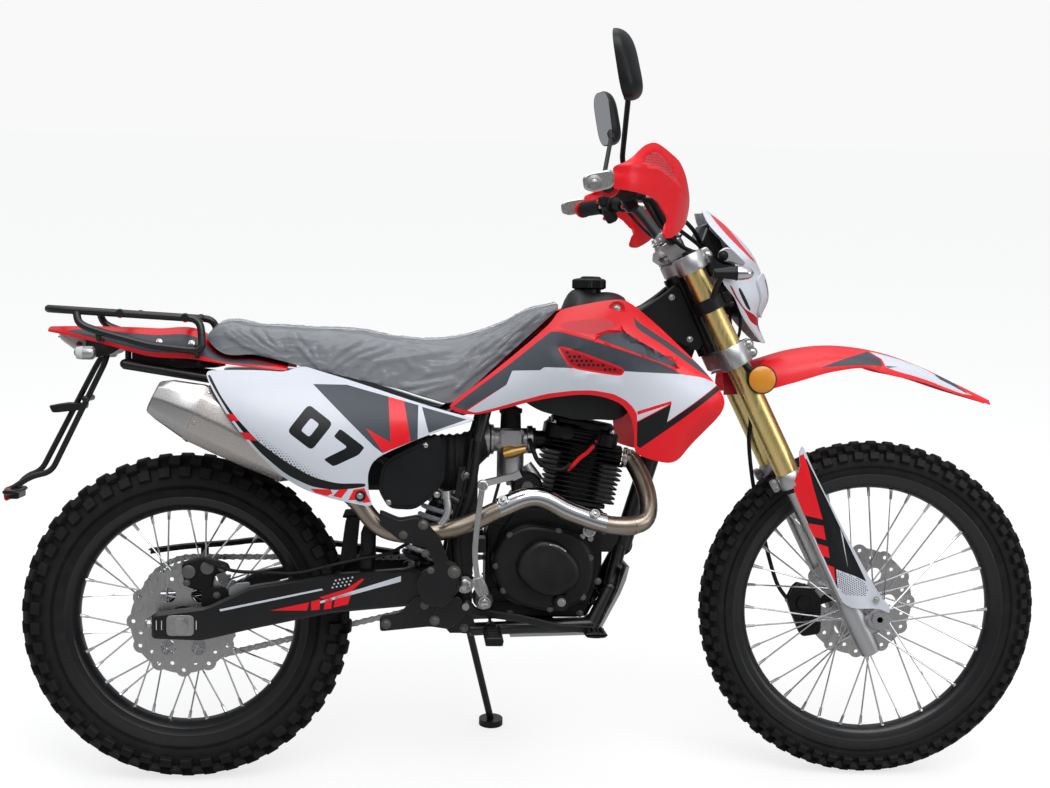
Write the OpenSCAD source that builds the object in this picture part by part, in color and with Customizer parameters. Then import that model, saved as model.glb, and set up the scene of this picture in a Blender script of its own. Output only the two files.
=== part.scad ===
// A light off-road motorcycle, parked on its side stand.
// Every piece is drawn on the upright machine, in millimetres: X runs forward from the
// rear axle, Y to the rider's left, Z up. The last lines lean it over.

/* [Stance] */
// Lean to the left on the side stand, degrees
lean = 9; // [8:0.5:10]
// Bars turned to the right when parked, degrees
rest_steer = 3; // [0:0.5:4]

/* [Wheels] */
// Distance between the axles
wheelbase = 1375; // [1365:1:1385]
// Height of the rear tyre over its rim, to the lug tips
rear_wall = 85; // [83:1:87]
// Half width of the rear tyre
rear_half = 55; // [52:1:56]
// Radius of the rear rim at its flange
rear_flange = 241; // [238:1:243]
// Height of the front tyre over its rim, to the lug tips
front_wall = 66; // [64:1:68]
// Half width of the front tyre
front_half = 43; // [40:1:45]
// Radius of the front rim at its flange
front_flange = 278; // [275:1:281]
// Rows of lugs round the rear tyre
rear_lugs = 32; // [28:2:32]
// Rows of lugs round the front tyre
front_lugs = 34; // [30:2:34]
// Height of the lugs
lug_height = 13; // [11:0.5:14]
// Spokes in each wheel
spokes = 36; // [28:4:36]
// Radius of a spoke
spoke_r = 1.8; // [1.5:0.1:2.2]

/* [Steering] */
// Rake of the steering axis from upright, degrees
rake = 26.5; // [26:0.1:27]
// Fork legs ahead of the steering axis
yoke_offset = 25; // [22:0.5:28]
// Front axle ahead of the fork legs
axle_lead = 39; // [37:0.5:41]
// Fork legs to each side of the middle
fork_y = 98; // [96:0.5:100]
// Radius of the outer fork tubes
tube_r = 24; // [23:0.5:25]
// Radius of the sliding fork legs
leg_r = 20.5; // [19:0.5:21]
// Half width of the handlebar
bar_half = 400; // [390:1:410]

/* [Brakes and drive] */
// Radius of the rear brake disc
rear_disc_r = 110; // [105:1:112]
// Radius of the front brake disc
front_disc_r = 120; // [115:1:123]
// Pitch radius of the rear sprocket
rear_pitch_r = 107; // [104:1:108]
// Pitch radius of the engine sprocket
drive_pitch_r = 33; // [31:1:34]
// Teeth of the rear sprocket
teeth = 42; // [38:1:46]
// Chain line to the left of the middle
chain_y = 72; // [71.5:0.1:72.5]

/* [Fits] */
// Radial clearance of turning shafts
run_gap = 0.05; // [0.03:0.01:0.08]
// Gap between seated pieces
seat_gap = 0.4; // [0.3:0.1:0.6]

/* [Side stand] */
// Pivot ahead of the rear axle
stand_x = 560; // [555:1:565]
// Pivot to the left of the middle
stand_y = 138; // [136:1:142]
// Pivot above the ground
stand_z = 300; // [297:1:303]
// Foot ahead of the pivot
stand_reach = 60; // [50:1:70]
// Foot to the left of the pivot
stand_spread = 112; // [105:1:120]

/* [Number plate] */
// Fixing holes to each side of the middle
plate_hole_y = 36; // [34:1:38]
// Radius of a fixing hole
plate_hole_r = 3.2; // [3:0.1:3.6]

/* [Hidden] */
$fn = 48;

red = [0.75, 0.05, 0.06];
white = [0.93, 0.93, 0.93];
black = [0.06, 0.06, 0.065];
dark = [0.2, 0.2, 0.21];
steel = [0.72, 0.72, 0.73];
silver = [0.8, 0.8, 0.82];
gold = [0.78, 0.55, 0.2];
rubber = [0.05, 0.05, 0.05];

// Axles and the steering axis; heights are from a base line a little below the ground
base = 4;
rear_radius = rear_flange + rear_wall;
front_radius = front_flange + front_wall;
rear_z = rear_radius + base;
front_z = front_radius + base;
steer_out = yoke_offset + axle_lead;
steer_foot = [wheelbase - steer_out * cos(rake), 0, front_z - steer_out * sin(rake)];
// Heights along the steering axis, from the foot of the front axle on it
low_yoke = 578;
low_yoke_h = 36;
top_yoke = 782;
top_yoke_h = 28;
stem_r = 14;
head_low = low_yoke + low_yoke_h + 0.5;
head_high = top_yoke - 0.5;

// Lean: the tyre rolls over on its rounded crown
crown_rise = rear_half * (1 - cos(lean));
mirror_z = 1372;
// The plate bracket's reach behind the rear axle
tail_reach = 352;
// Its two rods to each side of the middle, and their radius
rod_y = 20;
rod_r = 6;
mid_x = (wheelbase + front_radius - tail_reach) / 2;
mid_y = (mirror_z - base) * sin(lean);

// Side stand: pivot, foot on the leaning bike's floor, and the folded direction
stand_pivot = [stand_x, stand_y, stand_z];
foot_y = stand_y + stand_spread;
stand_foot = [stand_x + stand_reach, foot_y, base + (foot_y * sin(lean) - crown_rise) / cos(lean)];
stand_leg = unit(stand_foot + [0, 0, 9] - stand_pivot);
stand_length = norm(stand_foot + [0, 0, 9] - stand_pivot);
stand_axis = unit(cross(stand_leg, [-0.985, 0.14, 0.1]));
pin_r = 7;

function unit(v) = v / norm(v);
function mix(a, b, t) = a + (b - a) * t;
// A point on the steering axis's own frame, put on the upright machine
function on_fork(p) = steer_foot
    + [p[0] * cos(rake) - p[2] * sin(rake), p[1], p[0] * sin(rake) + p[2] * cos(rake)];

// The whole machine, leaning with its box centred on the origin
module parked() {
    translate([-mid_x, -mid_y, crown_rise]) rotate([-lean, 0, 0]) translate([0, 0, -base]) children();
}

// Pieces that turn with the bars, at their parked angle
module steered() {
    translate(steer_foot) rotate([0, -rake, 0]) rotate([0, 0, -rest_steer]) rotate([0, rake, 0])
        translate(-steer_foot) children();
}

// Turning pieces whose outlines are drawn for this place of the front axle
drawn_axle = [1375, 348];
module front_end() {
    steered() with_axle() children();
}
module with_axle() {
    translate([wheelbase - drawn_axle[0], 0, front_z - drawn_axle[1]]) children();
}

// The frame of the fork: Z up the steering axis, X ahead of it
module along_fork() {
    translate(steer_foot) rotate([0, -rake, 0]) children();
}

module at_front_axle() {
    translate([wheelbase, 0, front_z]) children();
}

module at_rear_axle() {
    translate([0, 0, rear_z]) children();
}

// Both sides from a piece drawn on the left
module both() {
    children();
    mirror([0, 1, 0]) children();
}

// The left side as drawn, or the right one
module scale_y(side) {
    if (side > 0)
        children();
    else
        mirror([0, 1, 0]) children();
}

// Turned pieces of a wheel: a profile of radius and side offset
module turned() {
    rotate([-90, 0, 0]) rotate_extrude($fn = 96) children();
}

// A plate drawn in side view, from y0 to y1
module plate(y0, y1) {
    translate([0, y1, 0]) rotate([90, 0, 0]) linear_extrude(y1 - y0) children();
}

// A round bar between two points
module bar(a, b, r) {
    d = b - a;
    l = norm(d);
    translate(a) rotate([0, acos(d[2] / l), atan2(d[1], d[0])]) cylinder(h = l, r = r);
}

// Bars through a list of points, with a small weld ball at each corner
module bars(points, r) {
    for (i = [0:len(points) - 2])
        bar(points[i], points[i + 1], r);
    for (i = [1:1:len(points) - 2])
        translate(points[i]) sphere(r = r + 0.6);
}

// A solid through rings of equal length, whichever way they run: capped, or closed into a hoop
module loft(rings, hoop = false) {
    n = len(rings[0]);
    m = len(rings);
    walls = [for (i = [0:hoop ? m - 1 : m - 2]) for (j = [0:n - 1]) let (k = (j + 1) % n, h = (i + 1) % m) each
        [[i * n + j, i * n + k, h * n + k], [i * n + j, h * n + k, h * n + j]]];
    ends = hoop ? [] : [[for (j = [n - 1:-1:0]) j], [for (j = [0:n - 1]) (m - 1) * n + j]];
    faces = concat(walls, ends);
    turn = total([for (j = [1:n - 2]) cross(rings[0][j] - rings[0][0], rings[0][j + 1] - rings[0][0])]);
    ahead = total(rings[1]) - total(rings[0]);
    polyhedron([for (ring = rings) each ring],
        turn * ahead > 0 ? [for (f = faces) [for (j = [len(f) - 1:-1:0]) f[j]]] : faces);
}
function total(list) = [for (p = list) 1] * list;

// A smooth run through control points, with some steps on each span
function spline(p, steps) = [
    for (i = [0:len(p) - 2]) for (s = [0:steps - 1])
        spline_at(p, i, s / steps),
    p[len(p) - 1]];
function spline_at(p, i, t) = let (
    a = p[max(i - 1, 0)], b = p[i], c = p[i + 1], d = p[min(i + 2, len(p) - 1)])
    0.5 * (2 * b + (c - a) * t + (2 * a - 5 * b + 4 * c - d) * t * t
        + (3 * b - a - 3 * c + d) * t * t * t);

// Headings along a run, and a side vector carried along it without twist
function headings(p) = [for (i = [0:len(p) - 1])
    unit(p[min(i + 1, len(p) - 1)] - p[max(i - 1, 0)])];
function carried(t, i, side) = i == len(t) ? [] :
    let (s = unit(side - t[i] * (side * t[i]))) concat([s], carried(t, i + 1, s));

// A bent round pipe along a run
module pipe(run, r, sides = 12) {
    t = headings(run);
    s = carried(t, 0, abs(t[0] * [0, 0, 1]) < 0.9 ? [0, 0, 1] : [1, 0, 0]);
    loft([for (i = [0:len(run) - 1]) [for (j = [0:sides - 1])
        run[i] + r * (cos(360 * j / sides) * s[i] + sin(360 * j / sides) * cross(t[i], s[i]))]]);
}

// A thin side panel. Columns: x, low edge, high edge, and outer y at low, middle and high
module panel(table, thick, steps = 5) {
    loft([for (row = table) concat(
        [for (s = [0:steps]) panel_at(row, s / steps, 0)],
        [for (s = [steps:-1:0]) panel_at(row, s / steps, thick)])]);
}
function panel_at(row, t, inward) = [row[0],
    row[3] * (1 - t) * (1 - 2 * t) + row[4] * 4 * t * (1 - t) + row[5] * t * (2 * t - 1) - inward,
    mix(row[1], row[2], t)];

// A closed, rounded body on the middle plane. Columns: x, low edge, top, half width, roundness
module cushion(table, steps = 9) {
    loft([for (row = table) concat(
        [for (s = [0:steps]) let (a = 180 * s / steps) [row[0],
            row[3] * sign(cos(a)) * pow(abs(cos(a)), row[4]),
            mix(row[1], row[2], pow(sin(a), row[4]))]])]);
}

// An arched sheet over the middle plane. Columns: x, edge height, crown height, half width
module arched(table, thick, steps = 8) {
    loft([for (row = table) concat(
        [for (s = [0:steps]) arch_at(row, 180 * s / steps, 0)],
        [for (s = [steps:-1:0]) arch_at(row, 180 * s / steps, thick)])]);
}
function arch_at(row, a, inward) = [row[0],
    (row[3] - inward) * cos(a),
    row[1] + (row[2] - row[1] - inward) * pow(sin(a), 0.7)];

bone_r = 20;
case_low = 337;
case_front = 822;
case_rear = 590;
neck = on_fork([0, 0, mix(head_low, head_high, 0.74)]);
function bone(x) = mix(800, neck[2], (x - 600) / (neck[0] - 600));

module frame() {
    low_neck = on_fork([0, 0, mix(head_low, head_high, 0.45)]);
    color(black) difference() {
        union() {
            along_fork() translate([0, 0, head_low]) cylinder(h = head_high - head_low, r = 27);
            bar(neck, [600, 0, 800], bone_r);
            bar(low_neck, [868, 0, 470], 19);
            both() {
                bars([[868, 0, 480], [838, 66, 398], [800, 80, 327], [560, 88, 318]], 13);
                plate(84, 96) polygon([[505, 330], [520, 312], [575, 312], [563, 350], [563, 430],
                    [572, 530], [572, 640], [535, 640], [520, 520], [505, 440]]);
                bar([552, 90, 620], [600, 62, 798], 12);
                bars([[604, 62, 790], [500, 90, 738], [-110, 78, 832]], 10);
                bar([552, 90, 560], [100, 82, 808], 9);
                bar([600, 86, 325], [600, 100, 325], 10);
                translate([690, 40, 318]) cube([36, 46, case_low - seat_gap - 318]);
                translate([560, 40, 470]) cube([case_rear - seat_gap - 560, 50, 28]);
                bar([-108, 40, 832], [-108, 40, 892.3], 6);
            }
            translate([case_front + seat_gap, -14, 462]) cube([44, 28, 36]);
            bar([-108, 80, 832], [-108, -80, 832], 9);
            bar([600, -66, 796], [600, 66, 796], 14);
            bar([552, -90, 626], [552, 90, 626], 10);
            bar([568, 90, 318], stand_pivot - 30 * stand_axis, 12);
            at_stand() {
                translate([0, 0, -34]) cylinder(h = 25.5, r = 17);
                translate([0, 0, -12]) cylinder(h = 26, r = pin_r);
                translate([0, 0, 9]) cylinder(h = 5, r = 12);
            }
        }
        along_fork() translate([0, 0, head_low - 1])
            cylinder(h = head_high - head_low + 2, r = stem_r + run_gap);
        pivot_bolt(8 + seat_gap);
    }
}

module pivot_bolt(r) {
    translate([548, -110, 410]) rotate([-90, 0, 0]) cylinder(h = 220, r = r);
}

// Side stand
module at_stand() {
    side = cross(stand_axis, stand_leg);
    multmatrix([for (i = [0:2]) [stand_leg[i], side[i], stand_axis[i], stand_pivot[i]]]) children();
}

module side_stand() {
    color(black) difference() {
        union() {
            at_stand() {
                translate([0, 0, -8]) cylinder(h = 16, r = 16);
                translate([10, 0, 0]) rotate([0, 90, 0]) cylinder(h = stand_length - 12, r = 7.5);
            }
            translate(stand_foot) rotate([lean, 0, 0]) cylinder(h = 14, r = 26);
        }
        at_stand() translate([0, 0, -20]) cylinder(h = 40, r = pin_r + run_gap);
    }
}

// Engine
module crankcase() {
    deck = [for (x = [case_front + 4, 695]) [x, 562 - (x - 768) * tan(cylinder_tilt)]];
    color(dark) union() {
        plate(-62, 56) polygon([[598, 345], [640, case_low], [790, case_low], [812, 395], [case_front, 440],
            [case_front, 520], deck[0], deck[1], [610, 556], [case_rear, 505], [case_rear, 380]]);
        translate([drive_at[0], 55, drive_at[1]]) rotate([-90, 0, 0]) cylinder(h = 20, r = 12);
        translate([drive_at[0], chain_y - 3, drive_at[1]]) rotate([-90, 0, 0])
            cylinder(h = 6, r = drive_pitch_r - 4.5);
    }
}

cylinder_tilt = 10;
module at_cylinder() {
    translate([768, 0, 562]) rotate([0, cylinder_tilt, 0]) children();
}

module engine_top() {
    color(black) {
        at_cylinder() intersection() {
            union() {
                cylinder(h = 160, r = 44);
                translate([-60, -50, 0]) cube([120, 100, 8]);
                for (i = [0:11])
                    translate([-70, -60, 12 + i * 9.6]) cube([140, 120, 4]);
                translate([-62, -48, 124]) cube([120, 96, 48]);
                translate([40, -22, 108]) rotate([0, 90, 0]) cylinder(h = 36, r = 22);
            }
            translate([-75, -62, seat_gap]) cube([165, 124, 170]);
        }
        translate([684 + seat_gap, -10, 688]) rotate([0, 90, 0]) cylinder(h = 70, r = 19);
    }
}

module engine_covers() {
    color(dark) {
        plate(-104, -62.4) union() {
            polygon([[600, 425], [640, 376], [732, 345], [790, 386], [812, 455], [788, 513],
                [729, 556], [651, 556], [614, 503]]);
            translate([kick_at[0], kick_at[2]]) circle(r = 20);
        }
        translate([711, -130, 460]) rotate([-90, 0, 0]) cylinder(h = 25.5, r = 68);
        plate(56.4, 104) union() {
            translate([752, 440]) circle(r = 62);
            polygon([[690, 440], [700, 360], [790, 350], [814, 440], [790, 500], [700, 500]]);
        }
    }
}

kick_at = [584, -100, 382];
module kick_lever() {
    color(steel) difference() {
        union() {
            translate(kick_at + [0, -76, 0]) rotate([-90, 0, 0]) cylinder(h = 50, r = 15);
            bars([kick_at + [0, -68, 6], kick_at + [-2, -78, 216], kick_at + [62, -95, 252]], 7.5);
        }
        translate(kick_at + [0, -50, 0]) rotate([-90, 0, 0]) cylinder(h = 50, r = 9 + seat_gap);
    }
    color(dark) translate(kick_at + [0, -50.4, 0]) rotate([-90, 0, 0]) cylinder(h = 46, r = 9);
}

module carburettor() {
    color(silver) {
        translate([600, -10, 688]) rotate([0, 90, 0]) cylinder(h = 84, r = 24);
        translate([640, -10, 610]) cylinder(h = 60, r = 27);
        translate([640, -10, 700]) cylinder(h = 48, r = 22);
    }
}

module airbox() {
    color(black) {
        translate([230, -74.8, 590]) cube([232, 149.6, 168]);
        translate([455, -10, 688]) rotate([0, 90, 0]) cylinder(h = 144.6, r = 40);
        plate(-142, -138) polygon([[388, 655], [470, 690], [548, 712], [498, 578], [450, 556],
            [400, 562], [378, 600]]);
        bar([430, -138.5, 600], [430, -70, 600], 10);
        both() bar([330, 70, 716], [330, 170.2, 716], 8);
    }
}

// Exhaust
header = [[864.8, -22, 655], [886, -30, 646], [908, -78, 585], [896, -116, 537], [829, -132, 531],
    [750, -140, 556], [682, -142, 585], [614, -140, 562], [540, -136, 528], [450, -132, 512],
    [383, -128, 526], [336, -126, 578], [300, -126, 606], [264, -126.6, 626]];

module exhaust_pipe() {
    color([0.5, 0.45, 0.4]) pipe(spline(header, 3), 18.5, 14);
}

module heat_shield() {
    whole = spline(header, 3);
    run = [for (i = [12:21]) whole[i]];
    t = headings(run);
    up = carried(t, 0, [0, 0, 1]);
    // Columns: radius, then the angles from over the pipe to under it, and back
    color(steel) loft([for (i = [0:len(run) - 1]) [for (arc = [[22, [0:-20:-180]], [19.1, [-180:20:0]]])
        for (a = arc[1]) run[i] + arc[0] * (cos(a) * up[i] + sin(a) * cross(t[i], up[i]))]]);
}

muffler_front = [255, -127, 630];
muffler_rear = [-44, -140, 774];
module muffler() {
    d = muffler_rear - muffler_front;
    l = norm(d);
    // Columns: distance along, half width, half height
    table = [[-8.6, 21, 21], [14, 22, 22], [50, 37, 45], [250, 41, 52], [l - 18, 32, 40], [l, 26, 32]];
    color(silver) {
        difference() {
            translate(muffler_front) rotate([0, acos(d[2] / l), atan2(d[1], d[0])])
                loft([for (row = table) [for (a = [18:36:360]) [row[2] * cos(a), row[1] * sin(a), row[0]]]]);
            bar(muffler_rear - 0.2 * d, muffler_rear + 0.1 * d, 14);
        }
        bar([150, -118, 712], [150, -89.2, 768.7], 6);
    }
}

// Tank, seat and covers
module fuel_tank() {
    // Columns: x, low edge, side top, crown, lower half width, upper half width, tunnel half width
    table = [[628, 790, 838, 848, 100, 60, 46], [690, 752, 880, 902, 128, 70, 54],
        [738, 740, 920, 944, 134, 78, 54], [746, 738, 938, 966, 134, 80, 54],
        [800, 736, 945, 982, 134, 84, 54], [850, 742, 944, 981, 134, 80, 48],
        [874, 765, 925, 968, 130, 66, 38]];
    color(black) {
        loft([for (row = table) let (roof = min(bone(row[0]) + bone_r * 1.102 + seat_gap, row[3] - 12)) [
            for (p = [[row[4], row[1]], [row[4], mix(row[1], row[2], 0.6)], [row[5] + 22, row[2]],
                [row[5] * 0.6, row[3] - 5], [0, row[3]], [-row[5] * 0.6, row[3] - 5],
                [-row[5] - 22, row[2]], [-row[4], mix(row[1], row[2], 0.6)], [-row[4], row[1]],
                [-row[6], row[1]], [-row[6], roof], [row[6], roof], [row[6], row[1]]])
            [row[0], p[0], p[1]]]]);
        translate([794, 0, 972]) cylinder(h = 20, r = 24);
        translate([794, 0, 991]) cylinder(h = 24, r = 34);
        both() {
            bar([832, 86, 946], [832, 118.4, 946], 8, $fn = 12);
            bar([700, 118, 800], [700, 145.6, 800], 8, $fn = 12);
        }
    }
}

// Black covers to each side of the steering head, seated on the tank's front
module head_covers() {
    color(black) both() plate(44, 58) polygon([[874 + seat_gap, 884], [874 + seat_gap, 944], [890, 950],
        [939, 984], [958, 1001], [970, 996], [1002, 925], [1020, 884], [1006, 868], [948, 894], [905, 880]]);
}

module shrouds() {
    table = [[542, 750, 757, 122, 123, 122], [568, 746, 779, 128, 130, 126], [609, 758, 814, 138, 142, 130],
        [686, 780, 897, 146, 156, 130], [735, 782, 947, 150, 165, 116], [801, 782, 964, 152, 172, 112],
        [850, 766, 968, 154, 176, 112], [866, 738, 959, 156, 178, 114], [873, 671, 954, 160, 180, 116],
        [929, 654, 906, 170, 184, 128], [960, 664, 877, 176, 186, 138], [993, 705, 845, 180, 187, 150],
        [1034, 749, 788, 182, 184, 174], [1041, 770, 780, 182, 183, 180]];
    color(red) both() panel(table, 4);
}

module seat() {
    // Columns: x, low edge, top, half width, roundness
    table = [[50, 884, 890, 96, 0.35], [64, 868, 905, 106, 0.35], [150, 852, 909, 118, 0.35],
        [250, 828, 905, 124, 0.35], [338, 808, 902, 122, 0.38], [418, 790, 889, 112, 0.42],
        [477, 772, 885, 102, 0.45], [520, 764, 889, 95, 0.45], [557, 792, 897, 90, 0.5],
        [617, 848, 918, 84, 0.5], [676, 902, 948, 80, 0.5], [726, 949, 960, 74, 0.5]];
    color([0.27, 0.27, 0.28]) cushion(table);
}

module side_panels() {
    table = [[52, 812, 822, 136, 138, 130], [63, 796, 823, 146, 146, 134], [109, 730, 822, 177, 182, 138],
        [156, 674, 822, 188, 190, 140], [203, 636, 823, 184, 190, 138], [235, 617, 833, 184, 190, 136],
        [287, 595, 822, 180, 188, 134], [330, 583, 811, 174, 182, 132], [360, 574, 803, 168, 176, 128],
        [366, 628, 802, 168, 174, 127], [388, 664, 797, 166, 168, 125], [420, 677, 788, 158, 160, 122],
        [477, 701, 770, 146, 146, 117], [540, 723, 749, 130, 130, 118], [568, 733, 741, 123, 123, 121]];
    color(white) both() panel(table, 3.5);
}

module tail() {
    // Columns: x, edge height, crown height, half width
    table = [[-262, 892, 902, 34], [-225, 886, 903, 60], [-140, 868, 903, 84], [-60, 848, 901, 100],
        [36, 842, 893, 112], [49, 840, 883.6, 114], [64, 838, 867.4, 116], [150, 828, 851.4, 124],
        [205, 824, 838.2, 127]];
    color(red) arched(table, 4);
}

function rack_z(x) = mix(936, 920, (x + 256) / 301);
module rack() {
    color(black) let ($fn = 12) {
        both() {
            bar([50, 112, rack_z(50)], [-256, 112, rack_z(-256)], 8);
            bars([[38, 112, rack_z(38)], [34, 126, 866], [-53, 124, 869], [-156, 118, 896],
                [-190, 112, rack_z(-190)]], 6.5);
            bar([34, 126, 868], [34, 126, 846], 6);
            bar([34, 126, 852], [34, 111.5, 852], 5);
            bar([-150, 118, 896], [-150, 118, 874], 6);
            bar([-150, 118, 880], [-150, 80.3, 880], 5);
        }
        for (x = [-248, -110, 12])
            bar([x, -112, rack_z(x)], [x, 112, rack_z(x)], 7);
    }
}

module rear_lamps() {
    color([0.85, 0.8, 0.8])
        plate(-30, 30) polygon([[-243, 890], [-238, 895.6], [-190, 896.6], [-187, 854], [-203, 850], [-240, 877]]);
    color(dark) both() {
        bar([-206, 28, 868], [-200, 104, 862], 5);
        bar([-176, 112, 862], [-216, 112, 862], 13);
    }
}

module plate_bracket() {
    foot = [12 - tail_reach, 582];
    knee = [34 - tail_reach, 599];
    hip = [-172, 850];
    brace = mix(hip, knee, 0.4);
    color(black) {
        for (y = [-rod_y, rod_y])
            bars([[-150, y, 897.1], [-150, y, 876], [hip[0], y, hip[1]], [knee[0], y, knee[1]],
                [foot[0], y, foot[1]]], rod_r);
        bar([brace[0], -rod_y - 22, brace[1]], [brace[0], rod_y + 22, brace[1]], rod_r);
        // The tray that the rods hang from
        plate(-56, 56) polygon([[-186.4, 858], [-186.4, 880], [-150, 884], [-120, 877], [-120, 862], [-138, 850],
            [-172, 842]]);
        difference() {
            translate([-tail_reach, -plate_hole_y - 10, 574]) cube([30, 2 * plate_hole_y + 20, 10]);
            for (y = [-plate_hole_y, plate_hole_y])
                translate([-tail_reach + 9, y, 570]) cylinder(h = 20, r = plate_hole_r);
        }
    }
}

// The sheet under the seat's tail, carried on the frame's rear cross tube
module inner_fender() {
    color(black) plate(-60, 60) polygon([[-98.5, 830], [-98.5, 866], [-50, 862], [25, 846], [64, 836], [70, 826],
        [-13, 824], [-50, 826]]);
}

// Rear end
module swingarm() {
    color(black) difference() {
        union() {
            both() {
                plate(84, 116) polygon([[-55, 304], [-55, 352], [50, 366], [134, 406], [287, 429],
                    [440, 441], [478, 432], [478, 380], [440, 368], [287, 354], [134, 322], [40, 300]]);
                plate(34, 58) polygon([[425, 380], [548, 386], [572, 410], [548, 434], [425, 436]]);
            }
            translate([440, -90, 398]) rotate([-90, 0, 0]) cylinder(h = 180, r = 26);
            pivot_bolt(8);
        }
        at_rear_axle() translate([0, -130, 0]) rotate([-90, 0, 0]) cylinder(h = 260, r = axle_r + seat_gap);
    }
}

axle_r = 9;
module rear_axle() {
    color(steel) at_rear_axle() {
        translate([0, -124, 0]) rotate([-90, 0, 0]) cylinder(h = 248, r = axle_r);
        both() translate([0, 116.5, 0]) rotate([-90, 0, 0]) cylinder(h = 14, r = 16, $fn = 6);
        translate([0, -83.6, 0]) rotate([-90, 0, 0]) cylinder(h = 17.6, r = 16);
        translate([0, 74.5, 0]) rotate([-90, 0, 0]) cylinder(h = 9.1, r = 16);
    }
}

module rear_shock() {
    color(dark) {
        bar([452, 0, 442], [510, 0, 585], 34);
        bar([500, 0, 560], [521, 0, 612], 20);
        bar([452, 0, 446], [447, 0, 423.7], 12);
        bar([518, 0, 610.8], [542.2, 0, 621.5], 9);
    }
}

module rear_caliper() {
    color(dark) difference() {
        union() {
            translate([-4, -83.4, 392]) cube([94, 33, 58]);
            plate(-83.4, -75) polygon([[36, 340], [88, 348], [88, 400], [36, 400]]);
        }
        at_rear_axle() disc_room(rear_disc_r, -68);
    }
}

// Room for a brake disc, 3 mm clear all round
module disc_room(r, y) {
    translate([0, y - 5, 0]) rotate([-90, 0, 0]) cylinder(h = 10, r = r + 4);
}

// The chain's pitch line: a run over the top, round the engine sprocket, back below and round the rear one
drive_at = [625, 405];
links = 106;
span = norm(drive_at - [0, rear_z]);
slope = atan2(drive_at[1] - rear_z, drive_at[0]);
swing = asin((rear_pitch_r - drive_pitch_r) / span);
straight = span * cos(swing);
front_wrap = drive_pitch_r * (180 - 2 * swing) * PI / 180;
rear_wrap = rear_pitch_r * (180 + 2 * swing) * PI / 180;
function aim(a) = [cos(a), sin(a)];
// A point of the chain: how far along from the top of the rear sprocket, and how far off the pitch line
function on_chain(s, off) =
    s < straight ? [0, rear_z] + (rear_pitch_r + off) * aim(90 + slope - swing) + s * aim(slope - swing) :
    s < straight + front_wrap ? drive_at
        + (drive_pitch_r + off) * aim(90 + slope - swing - (s - straight) / drive_pitch_r * 180 / PI) :
    s < 2 * straight + front_wrap ? drive_at + (drive_pitch_r + off) * aim(slope + swing - 90)
        + (s - straight - front_wrap) * aim(180 + slope + swing) :
    [0, rear_z] + (rear_pitch_r + off)
        * aim(slope + swing - 90 - (s - 2 * straight - front_wrap) / rear_pitch_r * 180 / PI);

module chain() {
    loop = 2 * straight + front_wrap + rear_wrap;
    steps = 2 * links;
    color([0.35, 0.33, 0.3]) plate(chain_y - 8, chain_y + 8) difference() {
        polygon([for (i = [0:steps - 1]) on_chain(loop * i / steps, i % 2 == 0 ? 8 : 6)]);
        polygon([for (i = [0:steps - 1]) on_chain(loop * i / steps, i % 2 == 0 ? -4 : -3)]);
    }
}

module foot_controls() {
    color(dark) {
        both() bar([600, 100.5, 325], [600, 250, 325], 11);
        plate(-122, -112) polygon([[541, 366], [548, 382], [560, 379], [572, 364], [604, 360], [656, 353],
            [734, 334], [800, 329], [822, 326], [822, 315], [800, 316], [732, 320], [652, 339], [598, 346],
            [556, 352]]);
        bar([550, -96.4, 369], [550, -126, 369], 9);
        translate([780, -168, 313]) cube([44, 53, 14]);
        plate(112, 121) polygon([[670, 379], [684, 385], [735, 373], [784, 380], [796, 379], [796, 365], [735, 359],
            [684, 366], [672, 368]]);
        bar([680, 56.4, 375], [680, 126, 375], 6);
        bar([788, 108, 372], [788, 170, 372], 6);
    }
}

module skid_plate() {
    color(silver) plate(-82, 82) polygon([[869, 442], [875, 442], [869, 416], [858, 388], [819, 314], [803, 305.5],
        [640, 301], [640, 307.4], [802, 311.6], [815.5, 320], [851.5, 391.5]]);
}

// Steering
module yokes() {
    color(silver) steered() along_fork() difference() {
        union() {
            // Columns: base, height
            for (level = [[low_yoke, low_yoke_h], [top_yoke, top_yoke_h]])
                translate([0, 0, level[0]]) linear_extrude(level[1]) union() {
                    circle(r = 30);
                    polygon([[-22, -20], [-22, 20], [4, fork_y + 30], [46, fork_y + 30], [52, 0],
                        [46, -fork_y - 30], [4, -fork_y - 30]]);
                }
            translate([0, 0, low_yoke + 1]) cylinder(h = top_yoke - low_yoke + 10, r = stem_r);
            for (y = [-62, 34])
                translate([-4, y, top_yoke + top_yoke_h - 1]) cube([36, 28, bar_rise + 20]);
        }
        for (y = [-fork_y, fork_y])
            translate([yoke_offset, y, low_yoke - 1])
                cylinder(h = top_yoke + top_yoke_h - low_yoke + 4, r = tube_r + 0.3);
        translate([bar_ahead, -80, top_yoke + top_yoke_h + bar_rise]) rotate([-90, 0, 0])
            cylinder(h = 160, r = bar_r + seat_gap);
    }
}

tube_low = 312;
module fork_tubes() {
    color(gold) steered() along_fork() for (y = [-fork_y, fork_y])
        translate([yoke_offset, y, tube_low]) difference() {
            cylinder(h = top_yoke + top_yoke_h + 2 - tube_low, r = tube_r);
            translate([0, 0, -1]) cylinder(h = 200, r = leg_r + 0.3);
        }
}

module fork_legs() {
    color(steel) steered() along_fork() for (y = [-fork_y, fork_y])
        difference() {
            union() {
                translate([yoke_offset, y, -62]) cylinder(h = 560, r = leg_r);
                translate([steer_out, y, 0]) rotate([90, 0, 0]) cylinder(h = 46, r = 24, center = true);
                translate([yoke_offset, y - 22, -40]) cube([axle_lead, 44, 56]);
            }
            translate([steer_out, y, 0]) rotate([90, 0, 0]) cylinder(h = 60, r = front_axle_r + seat_gap,
                center = true);
        }
}

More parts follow.
